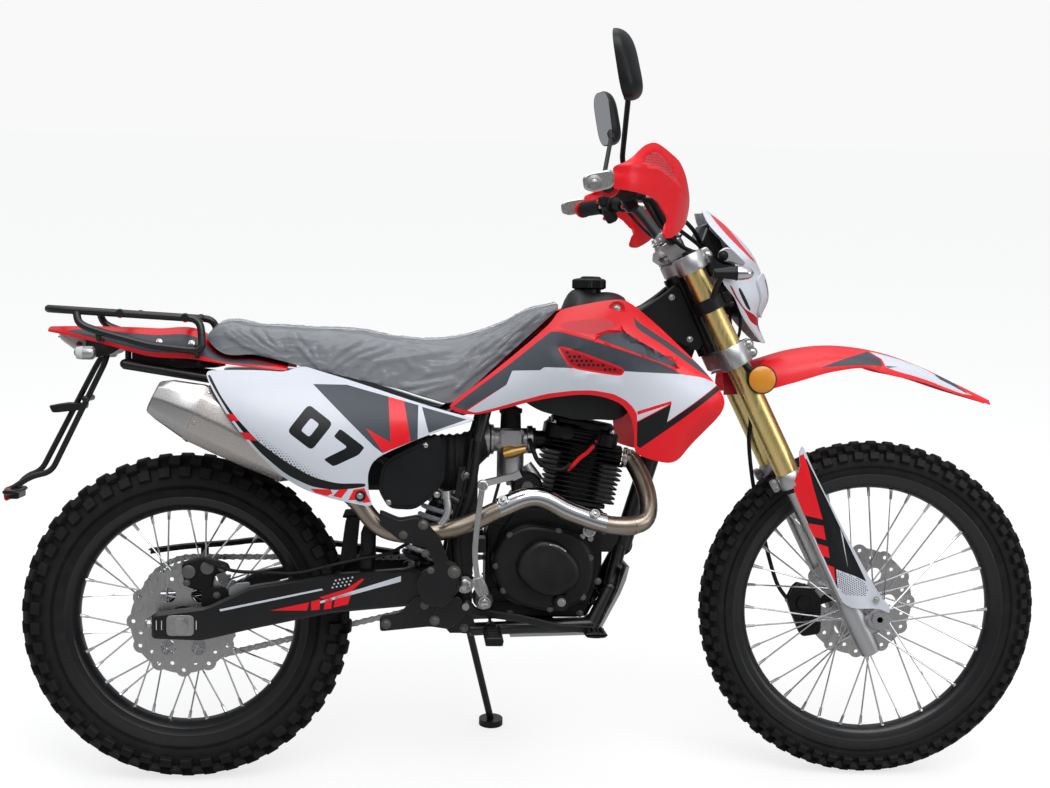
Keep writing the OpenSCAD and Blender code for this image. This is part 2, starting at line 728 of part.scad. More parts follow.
front_axle_r = 10;
module front_axle() {
    color(steel) steered() at_front_axle() difference() {
        union() {
            translate([0, -126, 0]) rotate([-90, 0, 0]) cylinder(h = 252, r = front_axle_r);
            both() translate([0, 121.5, 0]) rotate([-90, 0, 0]) cylinder(h = 8, r = 15);
            translate([0, -74.6, 0]) rotate([-90, 0, 0]) cylinder(h = 16.6, r = 15);
            translate([0, 66.5, 0]) rotate([-90, 0, 0]) cylinder(h = 8.1, r = 15);
        }
        translate([0, -140, 0]) rotate([-90, 0, 0]) cylinder(h = 280, r = 6);
    }
}

bar_r = 11;
bar_ahead = 14;
bar_rise = 42;
bar_z = top_yoke + top_yoke_h + bar_rise;
grip_in = [-42, 262, bar_z + 120];
grip_out = [-84, bar_half, bar_z + 138];
// The left half of the handlebar on the fork's frame. Columns: x, y, height
bar_bends = [[bar_ahead, 66, bar_z], [bar_ahead, 78, bar_z + 3], [13, 90, bar_z + 10], [12, 102, bar_z + 21],
    [6, 150, bar_z + 70], [-2, 175, bar_z + 92], [-13, 198, bar_z + 105], [-27, 225, bar_z + 114],
    grip_in, grip_out];
// Where the inner clamp's arm meets the hand guard
guard_root = [59.8, 222, bar_z + 68];
module handlebar() {
    run = concat([for (i = [len(bar_bends) - 1:-1:0]) [bar_bends[i][0], -bar_bends[i][1], bar_bends[i][2]]],
        bar_bends);
    color(dark) steered() along_fork() pipe(run, bar_r);
}

module hand_controls() {
    a = bar_bends[7];
    b = grip_in;
    c = bar_bends[6];
    color(rubber) steered() along_fork() both() {
        difference() {
            union() {
                bar(mix(grip_in, grip_out, 0.05), mix(grip_in, grip_out, 0.97), 17);
                bar(mix(a, b, 0.1), mix(a, b, 0.9), 17);
                translate(mix(a, b, 0.5) + [-14, -16, 10]) cube([40, 32, 16]);
                bars([mix(a, b, 0.5) + [16, 0, 0], [26, 262, 968], [8, 330, 976], [-34, 396, 986]], 5.5);
            }
            bar(mix(grip_in, grip_out, -0.05), mix(grip_in, grip_out, 1.2), bar_r + 0.6);
            bar(mix(a, b, -0.3), mix(a, b, 1.1), bar_r + 0.9);
        }
        // Clamps that carry the hand guards, on the bar and at its end
        difference() {
            union() {
                bar(mix(c, a, 0.2), mix(c, a, 0.7), 16);
                bar(mix(c, a, 0.45), guard_root, 7);
            }
            bar(mix(c, a, -0.4), mix(c, a, 1.4), bar_r + 0.9);
        }
        bar(mix(grip_in, grip_out, 1.005), mix(grip_in, grip_out, 1.135), 9);
    }
}

module hand_guards() {
    // Columns: x, low edge, high edge, outer y at low, middle and high
    table = [[806, 1162, 1201, 426, 430, 426], [833, 1160, 1209, 424, 428, 424],
        [868, 1154, 1244, 398, 404, 394], [886, 1150, 1248, 378, 386, 372], [910, 1125, 1236, 342, 352, 336],
        [918, 1080, 1232, 324, 340, 322], [938, 1092, 1222, 294, 308, 290], [955, 1109, 1195, 254, 264, 252],
        [966, 1138, 1168, 214, 218, 214]];
    color(red) front_end() both() panel(table, 7);
}

module mirrors() {
    // Columns: side, set ahead
    color(black) steered() for (glass = [[1, 14], [-1, -16]]) scale_y(glass[0]) {
        intersection() {
            plate(378, 482) translate([glass[1], 0]) polygon([[821, 1421], [834, 1430], [850, 1416],
                [867, 1355], [865, 1320], [845, 1314], [829, 1364]]);
            translate([780, 430, mirror_z]) rotate([90, 0, 90]) linear_extrude(140) polygon([[-52, -26],
                [-34, -58], [34, -58], [52, -26], [52, 30], [36, 58], [-36, 58], [-52, 30]]);
        }
        bars([on_fork([-28, 243, bar_z + 143.6]), on_fork([-28, 243, bar_z + 172]),
            [852 + glass[1], 394, 1338]], 5);
    }
}

// A point of the mask's section: -1 to 1 across it, and how far inside its skin
function mask_at(row, t, inward) = [
    (abs(t) > 0.5 ? mix(mix(row[1], row[3], 0.7), row[1], 2 * abs(t) - 1)
        : mix(row[3], mix(row[1], row[3], 0.7), 2 * abs(t))) - inward,
    (abs(t) > 0.5 ? mix(0.75, 1, 2 * abs(t) - 1) : 1.5 * abs(t)) * sign(t) * (row[2] - max(inward, 0)),
    row[0]];

module headlight_mask() {
    // Columns: height, rear edge, half width, front
    table = [[889, 1136, 50, 1151], [905, 1120, 64, 1143], [920, 1107, 76, 1136], [940, 1092, 86, 1136],
        [974, 1075, 96, 1149], [1018, 1049, 104, 1142], [1032, 1060, 104, 1136], [1050, 1078, 100, 1127],
        [1085, 1052, 90, 1102], [1122, 1020, 76, 1062], [1146, 1010, 60, 1030]];
    color(white) front_end() loft([for (row = table) concat(
        [for (s = [-2:2]) mask_at(row, s / 2, 0)], [for (s = [2:-1:-2]) mask_at(row, s / 2, 4)])]);
}

module headlamp() {
    // Columns: height, rear edge, half width, front of the mask behind the lens
    table = [[940, 1092, 86, 1136], [974, 1075, 96, 1149], [1018, 1049, 104, 1142]];
    color([0.85, 0.88, 0.9]) front_end() {
        loft([for (row = table) concat(
            [for (s = [-1:1]) mask_at(row, s / 2, -0.7)], [for (s = [1:-1:-1]) mask_at(row, s / 2, -6)])]);
        translate([1050, 0, 978]) rotate([0, 90, 0]) cylinder(h = 62, r = 42);
        plate(-46, 46) polygon([[1014, 1084], [1024, 1116], [1052, 1090], [1064, 1056], [1064, 1008], [1052, 1008],
            [1034, 1040]]);
        translate([1100, 0, 978]) rotate([0, 90, 0]) cylinder(h = 39.2, r = 10);
    }
}

module front_lamps() {
    grip = mix(low_yoke + low_yoke_h, top_yoke, 0.476);
    color([0.6, 0.6, 0.6]) steered() both() difference() {
        union() {
            along_fork() translate([yoke_offset, fork_y, grip]) cylinder(h = 26, r = 30);
            with_axle() {
                bar([1040, 98, 966], [1071.2, 93, 966], 7);
                bars([[1026, 122, 968], [1036, 136, 1006], [1046, 154, 1028]], 6);
                bar([1020, 164, 1030], [1072, 164, 1030], 15);
            }
        }
        along_fork() translate([yoke_offset, fork_y, grip - 14]) cylinder(h = 60, r = tube_r + seat_gap);
    }
}

module front_fender() {
    table = [[1062, 785, 837.2, 62], [1121, 790, 851, 66], [1198, 812, 874, 80], [1279, 836, 884, 86],
        [1345, 842, 879, 86], [1386, 830, 871, 84], [1451, 817, 850, 76], [1528, 793, 815, 58],
        [1609, 770, 777, 20]];
    color(red) front_end() arched(table, 4);
}

module fork_guards() {
    color(white) steered() along_fork() both() {
        translate([0, tube_r + fork_y + 4.6, 0]) rotate([90, 0, 0]) linear_extrude(4) polygon([[71, 383],
            [69, 334], [74, 178], [83, 52], [93, 14], [87, 2], [73, 20], [25, 44], [11, 64], [13, 187],
            [27, 319], [54, 344]]);
        translate([66, 92, 70]) cube([4, 32, 262]);
        for (h = [90, 200])
            bar([yoke_offset, fork_y + leg_r + 0.5, h], [yoke_offset, fork_y + tube_r + 2, h], 8);
    }
}

// Brake caliper over the rear of the disc, on a bracket from the left slider's inner side
module front_caliper() {
    seat_y = fork_y - leg_r - seat_gap;
    color(dark) steered() along_fork() difference() {
        union() {
            plate(50, seat_y) translate([steer_out, 0]) polygon([[-98, 92], [-76, 71], [-68, 43], [-100, -26],
                [-140, -14], [-137, 43], [-134, 70], [-112, 88]]);
            plate(70.2, seat_y) polygon([[-20, 26], [-20, 64], [yoke_offset + 6, 58], [yoke_offset + 6, 20]]);
        }
        translate([steer_out, 0, 0]) disc_room(front_disc_r, 64);
    }
}

// Wheels
// A tyre as one closed skin: rows of lugs on the crown and staggered rows on the shoulders
// Columns: share of the lug pitch, crown lug, shoulder lug (1 at the tip, 0 on the carcass)
lug_steps = [[-0.21, 1, 1], [0.21, 1, 0], [0.5, 0, 1]];
module lugged_tyre(radius, half, flange, lugs) {
    loft([for (i = [0:lugs - 1]) for (step = lug_steps) let (a = 180 + 360 * (i + step[0]) / lugs)
        [for (p = tyre_ring(radius, half, flange, step)) [p[0] * sin(a), p[1], p[0] * cos(a)]]], true);
}
function tyre_ring(radius, half, flange, step) = [
    [flange + seat_gap, -rim_seat(half)],
    for (p = [[-78, 2], [-46, 2], [-26, 1], [-9, 1], [9, 1], [26, 1], [46, 2], [78, 2]])
        let (out = half - lug_height * (1 - step[p[1]]))
        [radius - half + out * cos(p[0]), out * sin(p[0])],
    [flange + seat_gap, rim_seat(half)]];

function rim_seat(half) = half * 0.48 + 4;

module rim_profile(half, flange) {
    seat = rim_seat(half) - 4;
    polygon([[flange - 29, -seat * 0.5], [flange - 29, seat * 0.5], [flange - 20, seat + 1], [flange, seat + 4],
        [flange, seat + 0.5], [flange - 12, seat + 0.5], [flange - 12, seat * 0.5], [flange - 19, seat * 0.3],
        [flange - 19, -seat * 0.3], [flange - 12, -seat * 0.5], [flange - 12, -seat - 0.5],
        [flange, -seat - 0.5], [flange, -seat - 4], [flange - 20, -seat - 1]]);
}

// Hub with two spoke flanges and its spokes, laced alternately forward and back
module hub(width, reach, flange_y, flange_r, bore, bed) {
    difference() {
        union() {
            turned() polygon([[bore - 2, -width], [30, -width], [30, -flange_y - 6], [flange_r + 6, -flange_y - 6],
                [flange_r + 6, -flange_y + 6], [30, -flange_y + 10], [30, flange_y - 10],
                [flange_r + 6, flange_y - 6], [flange_r + 6, flange_y + 6], [30, flange_y + 6], [30, reach],
                [bore - 2, reach]]);
            for (i = [0:spokes - 1]) {
                side = i % 2 == 0 ? 1 : -1;
                lace = floor(i / 2) % 2 == 0 ? 1 : -1;
                at_rim = 360 * i / spokes;
                at_hub = at_rim + lace * 62;
                bar([flange_r * sin(at_hub), side * (flange_y + lace * 4), flange_r * cos(at_hub)],
                    [bed * sin(at_rim), side * (6 + lace * 2), bed * cos(at_rim)], spoke_r);
            }
        }
        translate([0, -width - 1, 0]) rotate([-90, 0, 0]) cylinder(h = width + reach + 2, r = bore);
    }
}

// Wavy brake disc on a round carrier
module disc(r, thick, bore, waves) {
    plate(-thick / 2, thick / 2) difference() {
        union() {
            circle(r = r - 7);
            for (i = [0:waves - 1])
                rotate(360 * i / waves) translate([r - 16, 0]) circle(r = 16);
        }
        circle(r = bore);
        for (i = [0:waves - 1]) {
            rotate(360 * i / waves) translate([r - 13, 0]) circle(r = 4);
            rotate(360 * (i + 0.5) / waves) translate([r - 24, 0]) circle(r = 4);
        }
        for (i = [0:5])
            rotate(60 * i) translate([r * 0.54, 0]) circle(r = 15);
    }
}

module front_tyre() {
    color(rubber) steered() at_front_axle() lugged_tyre(front_radius, front_half, front_flange, front_lugs);
}
module front_rim() {
    color(black) steered() at_front_axle() turned() rim_profile(front_half, front_flange);
}
module front_hub() {
    color(silver) steered() at_front_axle() hub(57.5, 66, 34, 30, front_axle_r + run_gap, front_flange - 30);
}
module front_disc() {
    color(steel) steered() at_front_axle() translate([0, 64, 0]) disc(front_disc_r, 4, 30.4, 12);
}
module rear_tyre() {
    color(rubber) at_rear_axle() lugged_tyre(rear_radius, rear_half, rear_flange, rear_lugs);
}
module rear_rim() {
    color(black) at_rear_axle() turned() rim_profile(rear_half, rear_flange);
}
module rear_hub() {
    color(silver) at_rear_axle() hub(65.5, 74, 36, 40, axle_r + run_gap, rear_flange - 30);
}
module rear_disc() {
    color(steel) at_rear_axle() translate([0, -68, 0]) disc(rear_disc_r, 4, 30.4, 12);
}
module rear_sprocket() {
    color(steel) at_rear_axle() plate(chain_y - 3, chain_y + 3) difference() {
        polygon([for (i = [0:teeth - 1]) for (s = [[0.1, 0], [0.35, 5], [0.65, 5], [0.9, 0]])
            (rear_pitch_r - 4.6 - s[1]) * aim(360 * (i + s[0]) / teeth)]);
        circle(r = 30.4);
        for (i = [0:5])
            rotate(60 * i) translate([66, 0]) circle(r = 17);
    }
}

parked() {
    frame();
    skid_plate();
    crankcase();
    engine_top();
    engine_covers();
    kick_lever();
    carburettor();
    airbox();
    exhaust_pipe();
    heat_shield();
    muffler();
    fuel_tank();
    head_covers();
    shrouds();
    seat();
    side_panels();
    tail();
    rack();
    rear_lamps();
    plate_bracket();
    inner_fender();
    swingarm();
    rear_shock();
    chain();
    rear_caliper();
    rear_axle();
    foot_controls();
    side_stand();
    yokes();
    fork_tubes();
    fork_legs();
    handlebar();
    hand_controls();
    hand_guards();
    mirrors();
    headlight_mask();
    headlamp();
    front_lamps();
    front_fender();
    fork_guards();
    front_caliper();
    front_axle();
    front_tyre();
    front_rim();
    front_hub();
    front_disc();
    rear_tyre();
    rear_rim();
    rear_hub();
    rear_disc();
    rear_sprocket();
}
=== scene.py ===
import math

import bmesh
import bpy
import numpy as np
from mathutils import Matrix, Vector, noise
from mathutils.geometry import delaunay_2d_cdt


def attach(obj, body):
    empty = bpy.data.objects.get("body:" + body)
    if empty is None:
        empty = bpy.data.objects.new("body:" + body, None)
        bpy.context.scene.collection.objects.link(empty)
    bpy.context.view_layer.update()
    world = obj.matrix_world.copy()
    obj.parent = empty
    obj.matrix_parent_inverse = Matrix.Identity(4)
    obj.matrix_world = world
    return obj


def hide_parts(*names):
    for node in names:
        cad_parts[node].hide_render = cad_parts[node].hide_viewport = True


# A light off-road motorcycle, parked on its side stand.
# Shapes are drawn in millimetres on the upright machine: X forward from the rear axle,
# Y to the rider's left, Z up. PLACES carries them to where they stand in the frame.
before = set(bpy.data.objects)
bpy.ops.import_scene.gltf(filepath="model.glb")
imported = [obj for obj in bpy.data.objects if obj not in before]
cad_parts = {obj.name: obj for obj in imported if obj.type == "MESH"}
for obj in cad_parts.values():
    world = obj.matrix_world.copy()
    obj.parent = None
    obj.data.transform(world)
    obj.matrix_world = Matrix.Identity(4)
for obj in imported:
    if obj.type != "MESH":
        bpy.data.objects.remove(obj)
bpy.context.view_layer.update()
scene = bpy.context.scene

# Stance
MM = 0.001
LEAN = math.radians(9)
RAKE = math.radians(26.5)
REST_STEER = math.radians(3)
BASE = 4
MID_X = 683.5
MID_Y = 1368 * math.sin(LEAN)
CROWN_RISE = 55 * (1 - math.cos(LEAN))
WHEELBASE = 1375
REAR_Z, FRONT_Z = 330, 348
STEER_OUT = 64
FORK_Y, YOKE_OFFSET = 98, 25
STEER_FOOT = Vector((WHEELBASE - STEER_OUT * math.cos(RAKE), 0, FRONT_Z - STEER_OUT * math.sin(RAKE)))


def turn(angle, axis):
    return Matrix.Rotation(angle, 4, axis)


def shift(*to):
    return Matrix.Translation(to)


UP_FORK = shift(*STEER_FOOT) @ turn(-RAKE, "Y")
PARKED = Matrix.Scale(MM, 4) @ shift(-MID_X, -MID_Y, CROWN_RISE) @ turn(-LEAN, "X") @ shift(0, 0, -BASE)
STEERED = PARKED @ UP_FORK @ turn(-REST_STEER, "Z") @ UP_FORK.inverted()
PLACES = {
    "chassis": (PARKED, "chassis"),
    "steered": (STEERED, "steering"),
    "fork": (STEERED @ UP_FORK, "steering"),
    "rear": (PARKED @ shift(0, 0, REAR_Z), "rear_wheel"),
    "front": (STEERED @ shift(WHEELBASE, 0, FRONT_Z), "front_wheel"),
}


# Materials
def add_node(nodes, kind, **values):
    """A new shader node, with inputs set by name."""
    made = nodes.new("ShaderNode" + kind)
    for name, value in values.items():
        made.inputs[name.replace("_", " ")].default_value = value
    return made


def surface(name, colour, rough, metal=0.0, grain=900, bump=0.06, patch=9, spread=0.10, brush=None, coat=0.0,
            worn=None, alpha=1.0, depth=0.001):
    """A procedural finish: patchy colour and roughness, and fine grain; brush stretches the grain one way."""
    material = bpy.data.materials.new(name)
    material.use_nodes = True
    nodes, link = material.node_tree.nodes, material.node_tree.links.new
    shader = nodes["Principled BSDF"]
    where = nodes.new("ShaderNodeTexCoord").outputs["Object"]
    broad = add_node(nodes, "TexNoise", Scale=patch, Detail=5)
    link(where, broad.inputs["Vector"])
    fine = add_node(nodes, "TexNoise", Scale=grain, Detail=3)
    if brush:
        stretch = add_node(nodes, "Mapping", Scale=brush)
        link(where, stretch.inputs["Vector"])
        link(stretch.outputs["Vector"], fine.inputs["Vector"])
    else:
        link(where, fine.inputs["Vector"])
    tint = nodes.new("ShaderNodeMix")
    tint.data_type = "RGBA"
    tint.inputs["A"].default_value = [min(1, c * (1 - spread)) for c in colour] + [1]
    tint.inputs["B"].default_value = [min(1, c * (1 + spread)) for c in colour] + [1]
    if worn:
        tint.inputs["B"].default_value = [*worn, 1]
        ramp = add_node(nodes, "MapRange", From_Min=0.48, From_Max=0.72)
        link(broad.outputs["Fac"], ramp.inputs["Value"])
        link(ramp.outputs["Result"], tint.inputs["Factor"])
    else:
        link(broad.outputs["Fac"], tint.inputs["Factor"])
    link(tint.outputs["Result"], shader.inputs["Base Color"])
    gloss = add_node(nodes, "MapRange", From_Min=0.3, From_Max=0.7, To_Min=max(0.02, rough - 0.06),
                     To_Max=min(1, rough + 0.07))
    link((fine if brush else broad).outputs["Fac"], gloss.inputs["Value"])
    link(gloss.outputs["Result"], shader.inputs["Roughness"])
    relief = add_node(nodes, "Bump", Strength=bump, Distance=depth)
    link(fine.outputs["Fac"], relief.inputs["Height"])
    link(relief.outputs["Normal"], shader.inputs["Normal"])
    finish = {"Metallic": metal, "Specular IOR Level": 0.5 if coat or metal else 0.32, "Coat Weight": coat,
              "Coat Roughness": 0.12, "Alpha": alpha}
    for name, value in finish.items():
        shader.inputs[name].default_value = value
    return material


BRUSHED = (1, 1, 0.04)
RED = surface("red_plastic", (0.84, 0.003, 0.012), 0.36, grain=500, bump=0.04, coat=0.1)
# Deep red that also serves as painted shade, on the shrouds' vent floors and the rear end of the front fender
DEEP_RED_AND_SHADE = surface("red_shaded_plastic", (0.40, 0.006, 0.014), 0.42, grain=500, bump=0.05)
# Matte red, paler partly as a painted highlight on the shrouds' matte panels
PALE_RED_AND_HIGHLIGHT = surface("red_matte_and_highlight", (0.62, 0.055, 0.065), 0.55, grain=1400, bump=0.25)
WHITE = surface("white_plastic", (0.64, 0.67, 0.74), 0.36, grain=600, bump=0.03, spread=0.03, coat=0.2)
GREY = surface("dark_grey_film", (0.060, 0.068, 0.085), 0.42, grain=1500, bump=0.12, spread=0.08)
BLACK = surface("black_plastic", (0.006, 0.0065, 0.0075), 0.36, grain=1200, bump=0.12, spread=0.25)
SATIN = surface("black_satin_paint", (0.005, 0.005, 0.006), 0.32, grain=700, bump=0.05,
                spread=0.25, coat=0.15)
CAST = surface("black_cast_engine", (0.006, 0.006, 0.007), 0.34, grain=800, bump=0.22, spread=0.3,
               worn=(0.014, 0.0135, 0.0135))
RUBBER = surface("tyre_rubber", (0.0065, 0.0068, 0.0078), 0.66, grain=900, bump=0.3, patch=30, spread=0.3,
                 worn=(0.013, 0.0125, 0.012))
GRIP = surface("soft_rubber", (0.006, 0.006, 0.0065), 0.58, grain=1600, bump=0.3, spread=0.2)
VINYL = surface("seat_vinyl", (0.045, 0.048, 0.054), 0.58, grain=1100, bump=0.45, spread=0.12)
STEEL = surface("bare_steel", (0.56, 0.55, 0.54), 0.30, 1.0, grain=260, bump=0.025, brush=BRUSHED)
CHROME = surface("chrome", (0.66, 0.66, 0.68), 0.12, 1.0, grain=300, bump=0.02, spread=0.04)
ALLOY = surface("cast_alloy", (0.56, 0.56, 0.57), 0.38, 1.0, grain=700, bump=0.1, spread=0.12)
BRIGHT = surface("machined_alloy", (0.56, 0.55, 0.545), 0.24, 1.0, grain=900, bump=0.01, brush=BRUSHED)
SHELL = surface("brushed_muffler", (0.58, 0.545, 0.52), 0.27, 1.0, grain=900, bump=0.01, brush=(0.05, 1, 1))
HEADER = surface("heated_steel", (0.42, 0.36, 0.30), 0.30, 1.0, grain=300, bump=0.06, patch=14, spread=0.1,
                 worn=(0.30, 0.24, 0.18))
GOLD = surface("gold_anodised", (0.88, 0.68, 0.28), 0.30, 1.0, grain=240, bump=0.05, brush=BRUSHED,
               spread=0.08)
BRASS = surface("brass", (0.60, 0.38, 0.12), 0.38, 1.0, grain=500, bump=0.2)
AMBER = surface("amber_lens", (0.70, 0.27, 0.012), 0.18, grain=1800, bump=0.2, spread=0.05, coat=0.4)
LENS = surface("clear_lens", (0.72, 0.70, 0.69), 0.10, grain=700, bump=0.25, spread=0.04, coat=0.6)
SMOKE = surface("dark_lens", (0.05, 0.055, 0.06), 0.08, grain=500, bump=0.08, coat=0.8)
FILM = surface("clear_film", (0.66, 0.69, 0.74), 0.16, grain=34, bump=0.7, spread=0.12, coat=0.3, alpha=0.32,
               brush=(1, 1, 0.45), depth=0.006)
MIRROR = surface("mirror_glass", (0.80, 0.82, 0.85), 0.04, 1.0, grain=200, bump=0.005, spread=0.02)
BURNT = surface("chain_steel", (0.20, 0.19, 0.18), 0.42, 0.9, grain=600, bump=0.15, worn=(0.09, 0.08, 0.07))


# Shapes: each is (points, faces)
RIGHTWARD = (0, -1, 0)


def mix(a, b, t):
    return a + (b - a) * t


def walls(rows, ring, hoop=False):
    return [[i * ring + j, i * ring + (j + 1) % ring, (i + 1) % rows * ring + (j + 1) % ring,
             (i + 1) % rows * ring + j] for i in range(rows if hoop else rows - 1) for j in range(ring)]


def loft(rings, hoop=False):
    ring, rows = len(rings[0]), len(rings)
    ends = [] if hoop else [list(range(ring)), list(range((rows - 1) * ring, rows * ring))]
    return [Vector(p) for r in rings for p in r], walls(rows, ring, hoop) + ends


def angles(count, start=0.0):
    return [start + math.tau * i / count for i in range(count)]


def spline(points, steps, closed=False):
    """A smooth run through points."""
    points = [np.array(p, float) for p in points]
    n = len(points)
    run = []
    for i in range(n if closed else n - 1):
        a, b, c, d = (points[(i + k) % n if closed else max(0, min(i + k, n - 1))] for k in (-1, 0, 1, 2))
        for t in (s / steps for s in range(steps)):
            run.append(0.5 * (2 * b + (c - a) * t + (2 * a - 5 * b + 4 * c - d) * t * t
                              + (3 * b - a - 3 * c + d) * t ** 3))
    return run if closed else run + [points[-1]]


def tube(run, radius, sides=14, hoop=False):
    run = [Vector(p) for p in run]
    n = len(run)
    radii = radius if hasattr(radius, "__len__") else [radius] * n
    side, rings = None, []
    for i, p in enumerate(run):
        before = run[i - 1] if i or hoop else p
        after = run[(i + 1) % n] if i < n - 1 or hoop else p
        ahead = after - before
        ahead = (ahead if ahead.length > 1e-6 else run[-1] - run[0]).normalized()
        side = ahead.orthogonal() if side is None else side
        side = (side - ahead * side.dot(ahead)).normalized()
        up = ahead.cross(side)
        rings.append([p + radii[i] * (math.cos(a) * side + math.sin(a) * up) for a in angles(sides)])
    return loft(rings, hoop)


def bent(points, bend=25.0, steps=5):
    """Straight runs with their corners bent round."""
    points = [Vector(p) for p in points]
    run = [points[0]]
    for a, b, c in zip(points, points[1:], points[2:]):
        start = b + (a - b) * min(0.5, bend / (a - b).length)
        end = b + (c - b) * min(0.5, bend / (c - b).length)
        run += [start.lerp(b, s / steps).lerp(b.lerp(end, s / steps), s / steps) for s in range(steps + 1)]
    return run + [points[-1]]


def turned(profile, steps=64):
    """A closed profile of (radius, side offset) turned about the Y axis."""
    return loft([[(r * math.sin(a), y, r * math.cos(a)) for r, y in profile] for a in angles(steps)], True)


def rod(a, b, profile, sides=24):
    """A turned bar from a to b. Profile columns: share of the length, radius."""
    return tube([Vector(a).lerp(Vector(b), t) for t, r in profile], [r for t, r in profile], sides)


def bar(a, b, radius, sides):
    """A plain round bar."""
    return rod(a, b, [(0, radius), (1, radius)], sides)


def inset(outline, by):
    """A closed outline drawn in by a small distance."""
    n = len(outline)
    area = sum(outline[i - 1][0] * outline[i][1] - outline[i][0] * outline[i - 1][1] for i in range(n))
    inner = []
    for i in range(n):
        (ax, ay), (bx, by_), (cx, cy) = (outline[(i + k) % n][:2] for k in (-1, 0, 1))
        way = Vector((cx - ax, cy - ay)).normalized() * math.copysign(by, area)
        inner.append((bx - way.y, by_ + way.x))
    return inner


def rounded(outline, share=0.35, steps=3):
    """Corners cut to smooth curves; a third number on a point is its own share of the edges."""
    n = len(outline)
    loop = []
    for i in range(n):
        a, b, c = (Vector(outline[(i + k) % n][:2]) for k in (-1, 0, 1))
        cut = outline[i][2] if len(outline[i]) > 2 else share
        start, end = b.lerp(a, cut), b.lerp(c, cut)
        if cut == 0:
            loop.append(tuple(b))
            continue
        for t in (s / steps for s in range(steps + 1)):
            loop.append(tuple(start.lerp(b, t).lerp(b.lerp(end, t), t)))
    return [p for i, p in enumerate(loop) if (Vector(p) - Vector(loop[i - 1])).length > 0.05]


def slab(outline, y0, y1, edge=1.5):
    """A plate drawn in side view with softened edges."""
    small = inset(outline, edge)
    y0, y1 = min(y0, y1), max(y0, y1)
    return loft([[(x, y, z) for x, z in loop] for loop, y in
                 ((small, y0), (outline, y0 + edge), (outline, y1 - edge), (small, y1))])


def plate(outline, share, y0, y1, edge=1.5):
    """A plate with its corners rounded by a share of their edges."""
    return slab(rounded(outline, share), y0, y1, edge)


def block(size, edge=2.0, at=(0, 0, 0)):
    """A box with softened edges, centred."""
    x, y, z = (s / 2 for s in size)
    loop = rounded([(-x, -z), (x, -z), (x, z), (-x, z)], min(0.45, edge / min(x, z)), 2)
    return moved(slab(loop, -y, y, min(edge, y * 0.9)), shift(*at))


def moved(shape, matrix):
    return [matrix @ Vector(p) for p in shape[0]], shape[1]


def mirrored(shape):
    return [Vector((p[0], -p[1], p[2])) for p in shape[0]], [f[::-1] for f in shape[1]]


def bolt(at, axis, radius=5.0, height=4.0):
    """A hexagon head on a flange."""
    face = Vector(axis).to_track_quat("Y", "Z").to_matrix().to_4x4()
    flange = turned([(0.01, 0), (radius * 1.45, 0), (radius * 1.4, height * 0.25), (0.01, height * 0.3)], 16)
    head = turned([(0.01, 0), (radius, 0), (radius, height * 0.85), (radius * 0.82, height),
                   (0.01, height)], 6)
    both = loft_sum(flange, head)
    return moved(both, shift(*at) @ face)


def loft_sum(*shapes):
    points, faces = [], []
    for p, f in shapes:
        faces += [[i + len(points) for i in face] for face in f]
        points += p
    return points, faces


def inside(loop, x, y):
    hit = False
    for i in range(len(loop)):
        (ax, ay), (bx, by) = loop[i - 1][:2], loop[i][:2]
        if (ay > y) != (by > y) and x < (bx - ax) * (y - ay) / (by - ay) + ax:
            hit = not hit
    return hit


def decorated(outline, graphics, lift, step=14, thick=3.0, holes=()):
    """A curved sheet cut along its graphics. lift(u, v) gives its place, and marks say which graphic."""
    points, edges = [], []
    for loop in [outline, *holes, *(g for g, mark in graphics)]:
        first = len(points)
        for i, end in enumerate(loop):
            a, b = Vector(loop[i - 1][:2]), Vector(end[:2])
            cuts = max(1, int((b - a).length / step))
            points += [a.lerp(b, k / cuts) for k in range(cuts)]
        edges += [(k, k + 1 if k + 1 < len(points) else first) for k in range(first, len(points))]
    low = [min(p[k] for p in outline) for k in (0, 1)]
    high = [max(p[k] for p in outline) for k in (0, 1)]
    for i in range(int((high[0] - low[0]) / step) + 1):
        for j in range(int((high[1] - low[1]) / step) + 1):
            spot = Vector((low[0] + (i + 0.5 * (j % 2)) * step, low[1] + j * step))
            if inside(outline, *spot):
                points.append(spot)
    flat, _, cells, *_ = delaunay_2d_cdt(points, edges, [], 0, 0.02)
    boxes = [(min(p[0] for p in g), max(p[0] for p in g), min(p[1] for p in g), max(p[1] for p in g))
             for g, mark in graphics]
    kept, marks = [], []
    for cell in cells:
        x, y = (sum(flat[i][k] for i in cell) / len(cell) for k in (0, 1))
        if not inside(outline, x, y) or any(inside(hole, x, y) for hole in holes):
            continue
        mark = 0
        for (g, m), (x0, x1, y0, y1) in zip(graphics, boxes):
            if x0 <= x <= x1 and y0 <= y <= y1 and inside(g, x, y):
                mark = m
        kept.append(list(cell))
        marks.append(mark)
    used = sorted({i for cell in kept for i in cell})
    place = {old: new for new, old in enumerate(used)}
    outer, inner = [], []
    for i in used:
        u, v = flat[i]
        p = Vector(lift(u, v))
        slope_u = Vector(lift(u + 1, v)) - p
        slope_v = Vector(lift(u, v + 1)) - p
        outer.append(p)
        inner.append(p - slope_u.cross(slope_v).normalized() * thick)
    faces = [[place[i] for i in cell] for cell in kept]
    count = len(outer)
    rim = {}
    for face in faces:
        for a, b in zip(face, face[1:] + face[:1]):
            rim[(a, b)] = True
    border = [(a, b) for a, b in rim if (b, a) not in rim]
    back = [[i + count for i in face[::-1]] for face in faces]
    lip = [[b, a, a + count, b + count] for a, b in border]
    return (outer + inner, faces + back + lip), marks + [0] * (len(back) + len(lip))


